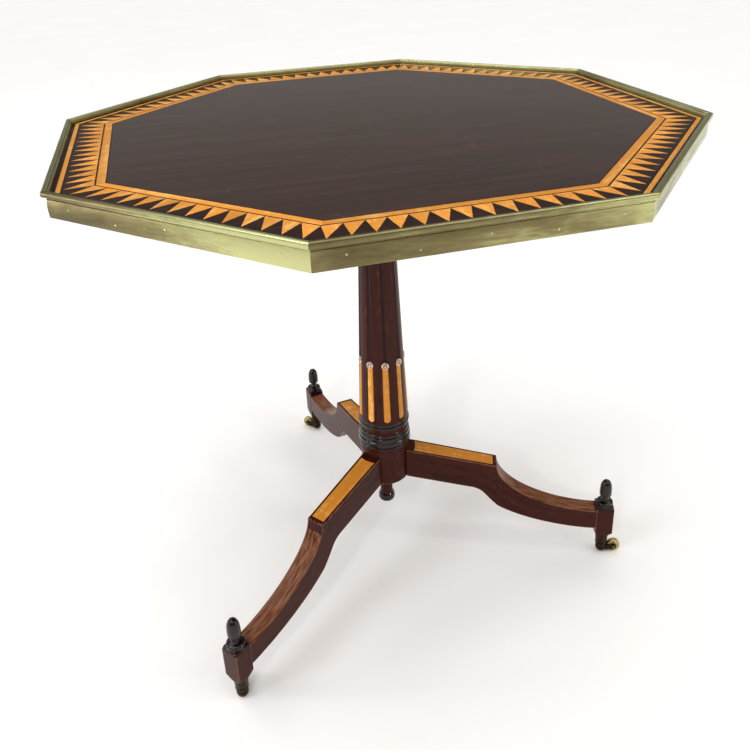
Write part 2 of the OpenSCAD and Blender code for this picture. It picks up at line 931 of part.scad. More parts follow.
// the inlay's slab, concentric with the drum at its inner end
module inlay_slab() {
    spare = 6;
    start = inlay_from - spare;
    start_z = root_z - (start - drum_r) * tan(leg_slope);
    stop_z = root_z - (inlay_to - drum_r) * tan(leg_slope);
    difference() {
        intersection() {
            side_view()
                polygon([
                    [start, start_z], [inlay_to, stop_z],
                    [inlay_to, stop_z - inlay_t], [start, start_z - inlay_t]
                ]);
            linear_extrude(table_h)
                leg_plan(inlay_margin, start, inlay_to);
        }
        cylinder(r = inlay_from, h = table_h, $fn = 96);
    }
}

module leg(i) {
    color([0.29, 0.12, 0.08])
        on_leg(i)
            union() {
                difference() {
                    intersection() {
                        side_view()
                            leg_side();
                        linear_extrude(table_h)
                            leg_plan(0, tongue_in, toe_r);
                    }
                    cylinder(r = drum_r + seat_play, h = table_h, $fn = 96);
                    inlay_slab();
                }
                translate([0, 0, drum_z + tongue_rise])
                    linear_extrude(tongue_top - drum_z - tongue_rise)
                        tongue_2d();
            }
}

module inlay(i) {
    color([0.87, 0.58, 0.25])
        on_leg(i)
            inlay_slab();
}

// a square block whose lower end is turned to a cone that meets the castor's cup
module foot_block(i) {
    cone_lip = 0.3;
    cone_r = cup_r[1] + cone_lip;
    color([0.25, 0.09, 0.06])
        on_leg(i)
            translate([foot_r, 0, foot_z])
                union() {
                    intersection() {
                        translate([-foot_w / 2, -foot_w / 2, 0])
                            cube([foot_w, foot_w, foot_h]);
                        cylinder(r1 = cone_r, r2 = cone_r + 2 * foot_h, h = 2 * foot_h);
                    }
                    translate([0, 0, -cup_seat])
                        cylinder(r = stub_r, h = cup_seat + 1);
                }
}

// square slab, turned cushion and neck, and the acorn
module foot_finial(i) {
    cushion_r = foot_w / 2 - neck_inset;
    cushion_z = foot_top + slab_h;
    cushion_edge = 3;
    cushion_turn = 4.6;
    cushion_in = 5;
    neck_z = cushion_z + 10;
    neck_r = [5, 4.8];
    acorn_z = neck_z + 7;
    acorn_in = 1.5;
    acorn_mid = 8.5;
    acorn_r = acorn_d / 2;
    color([0.11, 0.08, 0.08])
        on_leg(i)
            translate([foot_r, 0, 0])
                union() {
                    translate([-foot_w / 2, -foot_w / 2, foot_top])
                        cube([foot_w, foot_w, slab_h]);
                    rotate_extrude($fn = 48)
                        polygon(concat(
                            [
                                [0, cushion_z - 1], [cushion_r, cushion_z - 1],
                                [cushion_r, cushion_z + cushion_edge]
                            ],
                            arc([cushion_r - cushion_in, cushion_z + cushion_edge], cushion_turn, 0, 80, 6),
                            [[neck_r[0], neck_z], [neck_r[1], acorn_z - acorn_in]],
                            arc([0, acorn_z + acorn_mid], acorn_r, -45, 25, 7),
                            [
                                [acorn_r * 0.74, acorn_z + 19], [acorn_r * 0.52, acorn_z + 25],
                                [acorn_r * 0.24, acorn_z + 29.5], [0, acorn_z + 30.5]
                            ]
                        ));
                }
}

// ---- castors ----

module castor_cup(i) {
    color([0.45, 0.4, 0.28])
        on_leg(i)
            translate([foot_r, 0, 0])
                difference() {
                    translate([0, 0, cup_z])
                        cylinder(r1 = cup_r[0], r2 = cup_r[1], h = foot_z - cup_z);
                    translate([0, 0, foot_z - cup_seat - seat_play])
                        cylinder(r = stub_r + seat_play, h = cup_seat + 1);
                    translate([0, 0, cup_z - 1])
                        cylinder(r = swivel_d / 2 + castor_play, h = swivel_hole_l + 1);
                }
}

// swivel pin, rounded horn and the two cheeks that carry the axle
module castor_fork(i) {
    top = cup_z - castor_gap;
    cheek_in = wheel_w / 2 + castor_gap;
    cheek_r = 4.4;
    cheek_drop = 5;
    color([0.55, 0.5, 0.33])
        on_castor(i)
            difference() {
                union() {
                    intersection() {
                        translate([0, 0, horn_z])
                            sphere(r = horn_r);
                        cylinder(r = horn_r + 1, h = top);
                    }
                    translate([0, 0, top - 1])
                        cylinder(d = swivel_d, h = swivel_l + 1);
                    for (side = [-1, 1])
                        translate([0, side * (cheek_in + cheek_t / 2), 0])
                            rotate([90, 0, 0])
                                linear_extrude(cheek_t, center = true)
                                    union() {
                                        polygon([
                                            [0, horn_z - cheek_drop], [trail, wheel_r - cheek_r],
                                            [trail, wheel_r + cheek_r], [0, top]
                                        ]);
                                        translate([trail, wheel_r])
                                            circle(r = cheek_r);
                                    }
                }
                translate([0, 0, -1])
                    cylinder(r = far, h = 1 + horn_low);
                translate([trail, 0, wheel_r])
                    rotate([90, 0, 0])
                        cylinder(r = axle_d / 2 + eps, h = 4 * wheel_w, center = true);
            }
}

module castor_axle(i) {
    axle_proud = 0.5;
    axle_l = wheel_w + 2 * castor_gap + 2 * cheek_t + 2 * axle_proud;
    color([0.7, 0.64, 0.42])
        on_castor(i)
            translate([trail, 0, wheel_r])
                rotate([90, 0, 0])
                    cylinder(d = axle_d, h = axle_l, center = true);
}

module castor_wheel(i) {
    edge = 1.2;
    color([0.82, 0.76, 0.52])
        on_castor(i)
            translate([trail, 0, wheel_r])
                rotate([90, 0, 0])
                    rotate_extrude($fn = 64)
                        polygon([
                            [axle_d / 2 + castor_play, -wheel_w / 2],
                            [wheel_r - edge, -wheel_w / 2],
                            [wheel_r, -wheel_w / 2 + edge],
                            [wheel_r, wheel_w / 2 - edge],
                            [wheel_r - edge, wheel_w / 2],
                            [axle_d / 2 + castor_play, wheel_w / 2]
                        ]);
}

top_board();
field_veneer();
satin_band();
sawtooth_light();
sawtooth_dark();
outer_stringing();
dark_lines();
rim_moulding();
edge_band();
band_pins();
bearer(-1);  // bearer_left
bearer(1);  // bearer_right
bearer_screws();
catch_plate();
catch_guides();
catch_screws();
catch_bolt();
bolt_knob();
column_block();
pivot(-1);  // pivot_left
pivot(1);  // pivot_right
strike_plate();
column_shaft();
column_capital();
flute_bars();
bar_roundels();
base_torus();
collar_hollow();
base_collar();
column_drum();
pendant_stem();
pendant_finial();
leg_brace();
brace_screws();
leg(0);  // leg_front_left
leg(1);  // leg_right
leg(2);  // leg_back
inlay(0);  // inlay_front_left
inlay(1);  // inlay_right
inlay(2);  // inlay_back
foot_block(0);  // foot_block_front_left
foot_block(1);  // foot_block_right
foot_block(2);  // foot_block_back
foot_finial(0);  // foot_finial_front_left
foot_finial(1);  // foot_finial_right
foot_finial(2);  // foot_finial_back
castor_cup(0);  // castor_cup_front_left
castor_cup(1);  // castor_cup_right
castor_cup(2);  // castor_cup_back
castor_fork(0);  // castor_fork_front_left
castor_fork(1);  // castor_fork_right
castor_fork(2);  // castor_fork_back
castor_axle(0);  // castor_axle_front_left
castor_axle(1);  // castor_axle_right
castor_axle(2);  // castor_axle_back
castor_wheel(0);  // castor_wheel_front_left
castor_wheel(1);  // castor_wheel_right
castor_wheel(2);  // castor_wheel_back
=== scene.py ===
"""Octagonal tilt-top table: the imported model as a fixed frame, dressed with finished pieces."""

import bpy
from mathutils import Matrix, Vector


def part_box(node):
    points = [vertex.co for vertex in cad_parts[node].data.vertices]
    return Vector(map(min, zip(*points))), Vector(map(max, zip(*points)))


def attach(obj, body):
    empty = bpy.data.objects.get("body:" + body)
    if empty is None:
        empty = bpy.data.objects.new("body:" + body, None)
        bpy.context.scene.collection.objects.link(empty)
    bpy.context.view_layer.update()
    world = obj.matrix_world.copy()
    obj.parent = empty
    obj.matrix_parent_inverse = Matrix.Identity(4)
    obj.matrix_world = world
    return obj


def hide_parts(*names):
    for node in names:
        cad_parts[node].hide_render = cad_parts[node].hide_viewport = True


bl_info = {
    "name": "Tilt Top Table",
    "version": (1, 0, 0),
    "blender": (4, 5, 0),
    "location": "View3D > Sidebar > Table",
    "description": "Builds the finished pieces and finishes of an octagonal tilt-top table",
    "category": "Add Mesh",
}

import math

import bpy
import numpy as np
from bpy.props import FloatProperty, FloatVectorProperty, IntProperty, PointerProperty

from mathutils import Matrix

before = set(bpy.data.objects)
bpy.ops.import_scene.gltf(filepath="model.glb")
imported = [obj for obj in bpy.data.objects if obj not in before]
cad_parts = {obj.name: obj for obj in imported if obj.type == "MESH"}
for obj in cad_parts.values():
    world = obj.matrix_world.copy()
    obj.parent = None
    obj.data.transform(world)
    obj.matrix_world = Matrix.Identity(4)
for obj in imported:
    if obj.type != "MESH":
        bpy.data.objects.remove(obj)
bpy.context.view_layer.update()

MM = 0.001
SIDES = 8
HALF_SIDE = math.pi / SIDES
FEET = ("front_left", "right", "back")
# the floor's half side, and how far it lies under the wheels
FLOOR_REACH, FLOOR_DROP = 80.0, 0.2 * MM
# the point that every lamp faces
LAMP_AIM = (0, 0, 0.45)
# the camera: its place in metres, its turns in degrees, sensor and lens in millimetres, and the lens's shift
EYE = (-0.2653, -0.9934, 0.9843)
PITCH, HEADING, ROLL = 23.707, 14.208, -2.594
SENSOR, LENS, SHIFT = 36.0, 37.46, (0.0093, -0.16)
# rows along each side of the brass
SIDE_ROWS = 30
# how far the brass has tarnished at both ends of each side, from 0 to 1, round the top from +X. The numbers
# also paint light and shade onto the sides: more tarnish where a side falls in shade, less where it catches the
# light
SIDE_TARNISH_AND_SHADE = (
    (0.5, 0.6), (0.4, 0.5), (0.6, 0.55), (0.5, 0.45), (0.4, 0.7), (1.8, -0.3), (1.25, 0.55), (0.6, 0.3))


# ---- colours and sizes ----

def linear(hex_colour):
    """sRGB hex to linear: each channel c becomes ((c + 0.055) / 1.055)^2.4, or c / 12.92 where it is dark."""
    srgb = np.array([int(hex_colour[i:i + 2], 16) for i in (1, 3, 5)]) / 255
    low = srgb / 12.92
    high = ((srgb + 0.055) / 1.055) ** 2.4
    return tuple(np.where(srgb <= 0.04045, low, high)) + (1.0,)


def colour(name, description, hex_colour):
    return FloatVectorProperty(
        name=name, description=description, default=linear(hex_colour),
        subtype="COLOR", size=4, min=0.0, max=1.0,
    )


def length(name, description, millimetres):
    return FloatProperty(
        name=name, description=description, default=millimetres * MM,
        min=0.0, unit="LENGTH", precision=5,
    )


def number(name, description, default):
    return FloatProperty(name=name, description=description, default=default)


def whole_number(name, description, default):
    return IntProperty(name=name, description=description, default=default, min=3)


class TableFinishes(bpy.types.PropertyGroup):
    """Colours of the woods and metals."""
    satinwood: colour("Satinwood", "Body of the pale golden wood", "#D2882F")
    satinwood_pale: colour("Satinwood, pale", "Light flecks of the satinwood", "#EDB466")
    rosewood: colour("Rosewood", "Red brown of the column and legs", "#3C140A")
    # also painted highlight along the legs' edges and knees, and painted light on the tops of their sweeps
    rosewood_dark: colour("Rosewood, dark", "Dark streaks of the rosewood", "#150604")
    rosewood_worn_and_highlight: colour("Rosewood, worn", "Edges rubbed through the polish", "#A06C4C")
    field: colour("Field", "Very dark veneer of the top", "#24120C")
    field_streak: colour("Field, streaks", "Red streaks in the dark veneer", "#3A1E12")
    ebonised: colour("Ebonised", "Black stained turnings", "#140A07")
    mahogany: colour("Mahogany", "Plain wood under the top", "#5B2E1B")
    brass: colour("Brass", "Clean brass of the rim", "#B8B882")
    brass_tarnish: colour("Brass, tarnished", "Olive tarnish of the rim", "#7E7450")
    brass_dirt: colour("Brass, dirt", "Dirt in the hollows of the brass", "#241C10")
    castor_brass: colour("Castor brass", "Brown brass of the castors", "#3C2C1A")
    wheel_brass: colour("Wheel brass", "Rubbed brass of the castor wheels", "#C8B47C")
    bone: colour("Bone", "Turned buttons over the bars", "#EAD6CC")
    iron: colour("Iron", "Blackened wrought iron", "#2A2623")
    floor: colour("Floor", "Pale studio floor", "#F6F5F3")


class TableSizes(bpy.types.PropertyGroup):
    """Sizes of the finer shapes, which the frame doesn't give."""
    edge_ease: length("Edge easing", "Rounding along worn wooden edges", 0.9)
    rim_ripple: length("Rim ripple", "How far the hand-worked brass wanders", 0.12)
    mitre_seam: length("Mitre seam", "Gap between two lengths of brass", 0.16)
    flute_depth: length("Flute depth", "Depth of the flutes", 3.2)
    flute_width: length("Flute width", "Width of the flutes at their foot", 12.6)
    bar_rise: length("Bar rise", "How far the bars swell out of the shaft", 1.0)
    pin_width: length("Pin width", "Diameter of the pins in the brass band", 2.4)
    field_line: length("Field line", "Dark line round the field", 1.5)
    base_line: length("Base line", "Dark line under the teeth", 2.0)
    tip_line: length("Tip line", "Dark line outside the teeth", 2.5)
    tooth_gap: length("Tooth gap", "Dark wood between neighbouring light teeth", 0.3)
    neck_width: length("Neck width", "Diameter of the shaft at its neck", 47)
    flute_start: length("Flute start", "Plain foot of the shaft under the flutes", 1)
    button_width: length("Button width", "Diameter of the buttons over the bars", 11.2)
    knee_reach: length("Knee reach", "Distance of a knee from the column's axis", 178)
    knee_height: length("Knee height", "Height of a knee", 174.5)
    leg_depth: length("Leg depth", "Depth of a leg at the column", 50)
    under_knee: length("Under knee", "Distance of the lower knee from the column's axis", 152)
    root_width: length("Root width", "Width of a leg at the drum", 32)
    knee_width: length("Knee width", "Width of a leg at the knee", 28.5)
    toe_width: length("Toe width", "Width of a leg at the toe", 26)
    toe_depth: length("Toe depth", "Depth of a leg at the toe", 34.5)
    inlay_margin: length("Inlay margin", "Dark wood beside the inlay", 3.6)
    inlay_start: length("Inlay start", "Dark wood between the drum and the inlay", 11)
    inlay_stop: length("Inlay stop", "Dark wood between the inlay and the knee", 6)
    foot_width: length("Foot width", "Side of a foot block", 27)
    bolt_spare: length("Bolt spare", "Space round the bolt in the block", 0.6)
    catch_mortise: length("Catch mortise", "Depth of the hole that the bolt slides into", 16)
    block_over: length("Block over leg", "How far a foot block stands above its leg", 3)
    knee_round: length("Knee rounding", "Reach of the bend under a knee", 11)
    leg_slope: number("Leg slope", "Slope of a leg's straight part, in degrees", 10.2)
    flute_turn: number("Flute turn", "Direction of the first flute, in degrees", 23.5)
    top_power: number("Top power", "Power of the sweep along a leg's top", 1.85)
    low_power: number("Low power", "Power of the sweep along a leg's underside", 1.75)
    neck_ratio: number("Neck ratio", "Cutter's size at the neck over its foot", 0.66)
    pins: whole_number("Pins", "Pins along each side of the band", 5)
    flutes: whole_number("Flutes", "Flutes round the shaft", 9)
    teeth: whole_number("Teeth", "Light teeth along each side", 14)


def sizes():
    return bpy.context.scene.table_sizes


def finishes():
    return bpy.context.scene.table_finishes


# ---- meshes ----

def eased(outline, ease, steps=5, closed=False):
    """Rounds an outline's corners: each corner C becomes (1-s)^2 A + 2 s (1-s) C + s^2 B, where A and B lie
    ease away from C on its two edges. The ends of an open outline stay."""
    points = np.asarray(outline, float)
    ease = np.broadcast_to(np.asarray(ease, float), len(points))[:, None]
    before, after = np.roll(points, 1, axis=0) - points, np.roll(points, -1, axis=0) - points
    reach_before = np.linalg.norm(before, axis=1, keepdims=True) + 1e-12
    reach_after = np.linalg.norm(after, axis=1, keepdims=True) + 1e-12
    start = points + before / reach_before * np.minimum(ease, 0.49 * reach_before)
    stop = points + after / reach_after * np.minimum(ease, 0.49 * reach_after)
    s = np.linspace(0, 1, steps)[None, :, None]
    rounded = (1 - s) ** 2 * start[:, None] + 2 * s * (1 - s) * points[:, None] + s ** 2 * stop[:, None]
    if closed:
        return rounded.reshape(-1, 2)
    return np.vstack([points[:1], rounded[1:-1].reshape(-1, 2), points[-1:]])


def denser(line, step):
    """Adds points along a polyline so that none of its edges is longer than step."""
    line = np.asarray(line, float)
    gaps = np.linalg.norm(np.diff(line, axis=0), axis=1)
    along = np.concatenate([[0], np.cumsum(gaps)])
    extra = np.arange(0, along[-1], step)
    places = np.unique(np.round(np.concatenate([along, extra]), 9))
    return np.column_stack([np.interp(places, along, line[:, i]) for i in range(line.shape[1])])


def make_object(name, points, faces, values=None, sharp=35):
    """Puts points and quads or triangles in a new mesh, turned outwards by the sign of its volume, which is the
    sum of a . (b x c) / 6 over its triangles. values holds point attributes: numbers or vectors."""
    mesh = bpy.data.meshes.new(name)
    faces = [np.asarray(f) for f in faces if len(f)]
    volume = 0.0
    for group in faces:
        a, b = points[group[:, 0]], points[group[:, 1:]]
        volume += np.einsum("nd,nkd->", a, np.cross(b[:, :-1], b[:, 1:]))
    if volume < 0:
        faces = [group[:, ::-1] for group in faces]
    mesh.from_pydata(points.tolist(), [], [f for group in faces for f in group.tolist()])
    for key, value in (values or {}).items():
        value = np.asarray(value, np.float32)
        kind, slot = ("FLOAT", "value") if value.ndim == 1 else ("FLOAT_VECTOR", "vector")
        mesh.attributes.new(key, kind, "POINT").data.foreach_set(slot, value.ravel())
    mesh.shade_smooth()
    mesh.set_sharp_from_angle(angle=math.radians(sharp))
    mesh.update()
    piece = bpy.data.objects.new(name, mesh)
    bpy.context.scene.collection.objects.link(piece)
    return piece


def shell(grids):
    """Joins closed tubes. Each grid holds rows along the tube and columns round it; the columns wrap, and each
    end closes with a fan to the middle of its ring. Returns the points, the quads and the triangles."""
    points, quads, triangles, base = [], [], [], 0
    for grid in grids:
        rows, cols, _ = grid.shape
        index = base + np.arange(rows * cols).reshape(rows, cols)
        beside = np.roll(index, -1, axis=1)
        quads.append(np.stack([index[:-1], beside[:-1], beside[1:], index[1:]], -1).reshape(-1, 4))
        ends = base + rows * cols + np.arange(2)
        triangles.append(np.stack([beside[0], index[0], np.full(cols, ends[0])], -1))
        triangles.append(np.stack([index[-1], beside[-1], np.full(cols, ends[1])], -1))
        points.append(np.vstack([grid.reshape(-1, 3), grid[[0, -1]].mean(axis=1)]))
        base += rows * cols + 2
    return np.vstack(points), np.vstack(quads), np.vstack(triangles)


def tubes(name, grids, values=None, sharp=35):
    """A piece of one or more closed tubes. values maps an attribute to one array per grid, given at the grid's
    points; each end's middle point takes the mean of its ring."""
    points, quads, triangles = shell(grids)
    flat = {}
    for key, arrays in (values or {}).items():
        flat[key] = np.concatenate([
            np.concatenate([a.reshape((-1,) + a.shape[2:]), a[[0, -1]].mean(axis=1)]) for a in arrays
        ])
    return make_object(name, points, [quads, triangles], flat, sharp)


def turned(profile, cols=96, origin=(0, 0, 0), axes=None):
    """A turned shape as a grid: the profile's radius r and height h give r cos t X + r sin t Y + h Z for t
    round the circle, from the origin along the given axes."""
    profile = np.asarray(profile, float)
    t = np.linspace(0, 2 * np.pi, cols, endpoint=False)
    x, y, z = np.eye(3) if axes is None else np.asarray(axes, float)
    r, h = profile[:, :1, None], profile[:, 1:2, None]
    ring = np.cos(t)[None, :, None] * x + np.sin(t)[None, :, None] * y
    return np.asarray(origin, float) + r * ring + h * z


def ridge_wear(line, way=1.0):
    """Wear from how sharply a line turns at each of its points: 0.5 where it is straight, towards 1 on a ridge
    and 0 in a hollow. way is 1 with the solid on the line's left and -1 with it on the right."""
    a, b = line - np.roll(line, 1, axis=0), np.roll(line, -1, axis=0) - line
    turn = (a[:, 0] * b[:, 1] - a[:, 1] * b[:, 0]) * way
    bend = turn / (np.linalg.norm(a, axis=1) * np.linalg.norm(b, axis=1) + 1e-12)
    return np.clip(0.5 + 1.2 * bend, 0, 1)


def profile_wear(profile):
    """Wear of a turned profile, whose two ends lie on the axis or under another piece."""
    wear = ridge_wear(np.asarray(profile, float))
    wear[[0, -1]] = 0.5
    return wear


def handedness(outline):
    """1 for a closed outline that runs anticlockwise and -1 for one that runs clockwise."""
    ahead = np.roll(outline, -1, axis=0)
    return np.sign(np.sum(outline[:, 0] * ahead[:, 1] - outline[:, 1] * ahead[:, 0]))


def outline_wear(outline):
    """Wear round a closed outline."""
    return ridge_wear(outline, handedness(outline))


def turned_piece(name, places, profile, cols=96, wear=None):
    """One turned profile at one or more places, each an origin and three axes, with its wear."""
    profile = np.asarray(profile, float)
    grids = [turned(profile, cols, origin, axes) for origin, axes in places]
    wear = profile_wear(profile) if wear is None else wear
    wear = np.repeat(wear[:, None], cols, axis=1)
    return tubes(name, grids, {"wear": [wear] * len(grids)})


def prisms(name, outlines, base, face, grain, tone):
    """Flat tiles, one per outline of k points, standing from base to face. grain holds each tile's grain
    direction in plan: the grain attribute is the distance along it, across it, and a shift per tile."""
    count, k, _ = outlines.shape
    flat = np.concatenate([outlines, outlines], axis=1)
    heights = np.repeat([base, face], k)[None, :].repeat(count, 0)
    points = np.dstack([flat, heights]).reshape(-1, 3)
    index = np.arange(count * 2 * k).reshape(count, 2, k)
    beside = np.roll(index, -1, axis=2)
    walls = np.stack([index[:, 0], beside[:, 0], beside[:, 1], index[:, 1]], -1).reshape(-1, 4)
    along = np.einsum("nkd,nd->nk", flat, grain)
    across = flat[..., 0] * -grain[:, None, 1] + flat[..., 1] * grain[:, None, 0]
    shift = np.repeat(tone[:, None], 2 * k, 1)
    return make_object(
        name, points, [walls, index[:, 0, ::-1], index[:, 1]],
        {"grain": np.dstack([along, across, shift * 3]).reshape(-1, 3), "tone": shift.ravel()},
    )


def ripple(places, reach):
    """A slow hand-made unevenness: the sum of three sines of unlike wavelengths, up to reach either way."""
    x, y, z = places[..., 0], places[..., 1], places[..., 2]
    waves = np.sin(61 * x + 37 * y + 1.3) + np.sin(-43 * x + 89 * y + 90 * z) + np.sin(151 * x - 127 * y + 0.4)
    return reach * waves / 3


def scatter(count, seed):
    """The same numbers from 0 to 1 each run."""
    return np.random.default_rng(seed).random(count)


def plan_turn(points, angle):
    """Turns plan points about the origin, for one angle or an array of angles that leads the shape."""
    cos, sin = np.cos(angle), np.sin(angle)
    x, y = points[..., 0], points[..., 1]
    return np.stack([x * cos - y * sin, x * sin + y * cos], -1)


def finish_piece(piece, body, slot, material, *nodes):
    """Gives a new piece its material and its body, and hides the nodes it stands for. slot is not used."""
    piece.data.materials.append(finish(material))
    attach(piece, body)
    if nodes:
        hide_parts(*nodes)
    return piece


def dress(material, *nodes):
    """Gives nodes of the frame a material."""
    for name in nodes:
        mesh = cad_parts[name].data
        mesh.materials.clear()
        mesh.materials.append(finish(material))


# ---- materials ----

def add(tree, kind, links=None, stops=None, **settings):
    """Adds a node. links maps inputs to values or sockets, and stops are a colour ramp's places and colours."""
    node = tree.nodes.new(kind)
    for key, value in settings.items():
        setattr(node, key, value)
    for key, value in (links or {}).items():
        if isinstance(value, bpy.types.NodeSocket):
            tree.links.new(value, node.inputs[key])
        else:
            node.inputs[key].default_value = value
    if stops:
        elements = node.color_ramp.elements
        while len(elements) < len(stops):
            elements.new(0.5)
        for element, (place, shade) in zip(elements, stops):
            element.position = place
            element.color = shade if len(shade) == 4 else tuple(shade) + (1.0,)
    return node


def blank(name, **shader_values):
    """A new material: its node tree and its shader, with the given values on the shader's sockets."""
    material = bpy.data.materials.new(name)
    material.use_nodes = True
    tree = material.node_tree
    tree.nodes.clear()
    sockets = {key.replace("_", " "): value for key, value in shader_values.items()}
    shader = add(tree, "ShaderNodeBsdfPrincipled", sockets)
    add(tree, "ShaderNodeOutputMaterial", {"Surface": shader.outputs[0]})
    material.diffuse_color = (0.5, 0.4, 0.3, 1)
    return material, tree, shader


def noise(tree, place, scale, detail, **settings):
    """Smooth noise from 0 to 1, with scale cycles per metre."""
    links = {"Vector": place, "Scale": scale, "Detail": detail, **settings}
    return add(tree, "ShaderNodeTexNoise", links).outputs[0]


def spread(tree, value, start, stop, first=0.0, last=1.0):
    """Maps start to first and stop to last, and holds both beyond them."""
    links = {"Value": value, "From Min": start, "From Max": stop, "To Min": first, "To Max": last}
    return add(tree, "ShaderNodeMapRange", links).outputs[0]


def maths(tree, operation, *values):
    return add(tree, "ShaderNodeMath", dict(enumerate(values)), operation=operation).outputs[0]


def blend(tree, share, under, over):
    """under, with share of the colour over in it."""
    return add(tree, "ShaderNodeMix", {0: share, 6: under, 7: tuple(over)}, data_type="RGBA").outputs[2]


def ramp(tree, value, *stops):
    return add(tree, "ShaderNodeValToRGB", {"Fac": value}, stops=stops).outputs[0]


def attribute(tree, name, kind="Fac"):
    return add(tree, "ShaderNodeAttribute", attribute_name=name).outputs[kind]


def own_place(tree):
    return add(tree, "ShaderNodeTexCoord").outputs["Object"]


def drawn_out(tree, place, scale):
    return add(tree, "ShaderNodeMapping", {"Vector": place, "Scale": scale}).outputs[0]


def bumps(tree, height, strength, distance):
    links = {"Height": height, "Strength": strength, "Distance": distance}
    return add(tree, "ShaderNodeBump", links).outputs[0]


def plug(tree, shader, body, rough, normal=None, coat_normal=None):
    for socket, value in (
            ("Base Color", body), ("Roughness", rough), ("Normal", normal), ("Coat Normal", coat_normal)):
        if value is not None:
            tree.links.new(value, shader.inputs[socket])


def polished_wood(name, shades, pores_mm, figure, follow=None, turn=(0, 0, 0), gloss=0.28, worn=None, coat=0.2):
    """French-polished wood: a long-grained body with dark pores, slow cross figure that catches the light, a
    clear coat with soft ripples, edges rubbed paler where the wear attribute is high, and painted shade in the
    hollows where it is low.
    shades runs from dark to pale, pores_mm is the spacing of the pores across the grain."""
    material, tree, shader = blank(
        name, IOR=1.5, Coat_Weight=coat, Coat_Roughness=0.05, Coat_IOR=1.45, Specular_IOR_Level=0.05)
    place = attribute(tree, follow, "Vector") if follow else own_place(tree)
    place = add(tree, "ShaderNodeMapping", {"Vector": place, "Rotation": turn}).outputs[0]
    # the grain runs along x: pores drawn out 14 times along it, and broad streaks 12 pore spacings wide
    across = 1 / (pores_mm * MM)
    pores = noise(tree, drawn_out(tree, place, (across / 14, across, across)), 1.0, 3.0, Roughness=0.6)
    streaks = noise(
        tree, drawn_out(tree, place, (across / 220, across / 12, across / 12)), 1.0, 4.0,
        Roughness=0.55, Distortion=0.6)
    # cross figure: soft bars about 9 mm apart along the grain
    bars = noise(tree, drawn_out(tree, place, (110, 30, 30)), 1.0, 1.0, Distortion=0.4)
    mix = maths(tree, "MULTIPLY_ADD", bars, figure, maths(tree, "ADD", pores, streaks))
    middle = 1.0 + figure / 2
    stops = zip(np.linspace(0, 1, len(shades)), shades)
    body = ramp(tree, spread(tree, mix, middle - 0.3, middle + 0.3), *stops)
    if follow:
        # each tile is cut from its own leaf: up to a sixth darker or paler
        value = spread(tree, attribute(tree, "tone"), 0.0, 1.0, 0.84, 1.16)
        body = add(tree, "ShaderNodeHueSaturation", {"Color": body, "Value": value}).outputs[0]
    if worn:
        wear = attribute(tree, "wear")
        # rubs follow the grain: 25 mm long, 3 mm wide
        scuff = noise(tree, drawn_out(tree, place, (40, 330, 330)), 1.0, 4.0)
        body = blend(tree, spread(tree, maths(tree, "ADD", wear, scuff), 1.15, 1.75), body, worn)
        # painted shade, with old polish and dirt, darkens the hollows
        body = blend(tree, spread(tree, wear, 0.4, 0.14), body, shades[0])
    rough = spread(tree, pores, 0.0, 1.0, gloss + 0.12, gloss - 0.06)
    ripples = bumps(tree, noise(tree, place, 90.0, 2.0), 0.05, MM)
    plug(tree, shader, body, rough, bumps(tree, pores, 0.12, 0.3 * MM), ripples)
    return material


def ebonised_wood(name):
    """Pear or beech stained black and polished: almost no grain, hazy scuffs, and brown showing on ridges."""
    material, tree, shader = blank(name, IOR=1.5, Coat_Weight=0.7, Coat_Roughness=0.05, Specular_IOR_Level=0.05)
    colours = finishes()
    # scuffs about 4 mm across
    scuff = noise(tree, own_place(tree), 250.0, 5.0)
    rub = spread(tree, maths(tree, "ADD", attribute(tree, "wear"), scuff), 1.25, 1.7)
    body = blend(tree, rub, tuple(colours.ebonised), colours.rosewood)
    plug(tree, shader, body, spread(tree, scuff, 0.0, 1.0, 0.12, 0.3), bumps(tree, scuff, 0.06, 0.3 * MM))
    return material


def aged_brass(name, clean, tarnish, dirt, tarnished=0.5, patch_mm=60, gloss=0.26, worn=True, follow=None):
    """Cast and drawn brass, long unlacquered: olive tarnish in patches, fine drawn scratches, dark dirt in the
    hollows and bright rubbed ridges where the wear attribute is high. With an attribute to follow, the
    tarnish is drawn out along the length and its amount goes with the tone attribute, which on the rim also
    carries painted light and shade."""
    material, tree, shader = blank(name, Metallic=1.0)
    if follow:
        place, tone = attribute(tree, follow, "Vector"), attribute(tree, "tone")
        # patches five times as long as they are high
        drawn = drawn_out(tree, place, (0.2, 1, 1))
    else:
        place, tone = own_place(tree), 0.5
        drawn = place
    wear = attribute(tree, "wear") if worn else 0.5
    cloud = noise(tree, drawn, 1 / (patch_mm * MM), 6.0, Roughness=0.62, Distortion=0.3)
    # spots of tarnish 2 to 3 mm across
    spots = noise(tree, drawn, 380.0, 4.0)
    mix = maths(tree, "MULTIPLY_ADD", spots, 0.3, cloud)
    mix = maths(tree, "MULTIPLY_ADD", wear, -0.4, mix)
    # the tone attribute adds tarnish, and on the rim painted light and shade
    mix = maths(tree, "MULTIPLY_ADD", tone, 0.5, mix)
    onset = 0.7 - (tarnished - 0.5) * 0.5
    amount = spread(tree, mix, onset - 0.16, onset + 0.56)
    # clean, then tarnished, then half as bright where the tarnish is deepest
    body = ramp(tree, amount, (0.0, tuple(clean)), (0.5, tuple(tarnish)), (1.0, [c * 0.5 for c in tarnish[:3]]))
    grime = spread(tree, maths(tree, "MULTIPLY_ADD", spots, 0.35, wear), 0.5, 0.24)
    body = blend(tree, grime, body, dirt)
    # scratches are far finer in life; 0.8 mm apart is as coarse as they need to be to show
    scratch = noise(tree, drawn, 1200.0, 2.0)
    height = maths(tree, "MULTIPLY_ADD", scratch, 0.06, noise(tree, place, 60.0, 2.0))
    rough = spread(tree, amount, 0.0, 1.0, gloss, gloss + 0.16)
    plug(tree, shader, body, rough, bumps(tree, height, 0.2, 0.6 * MM))
    return material


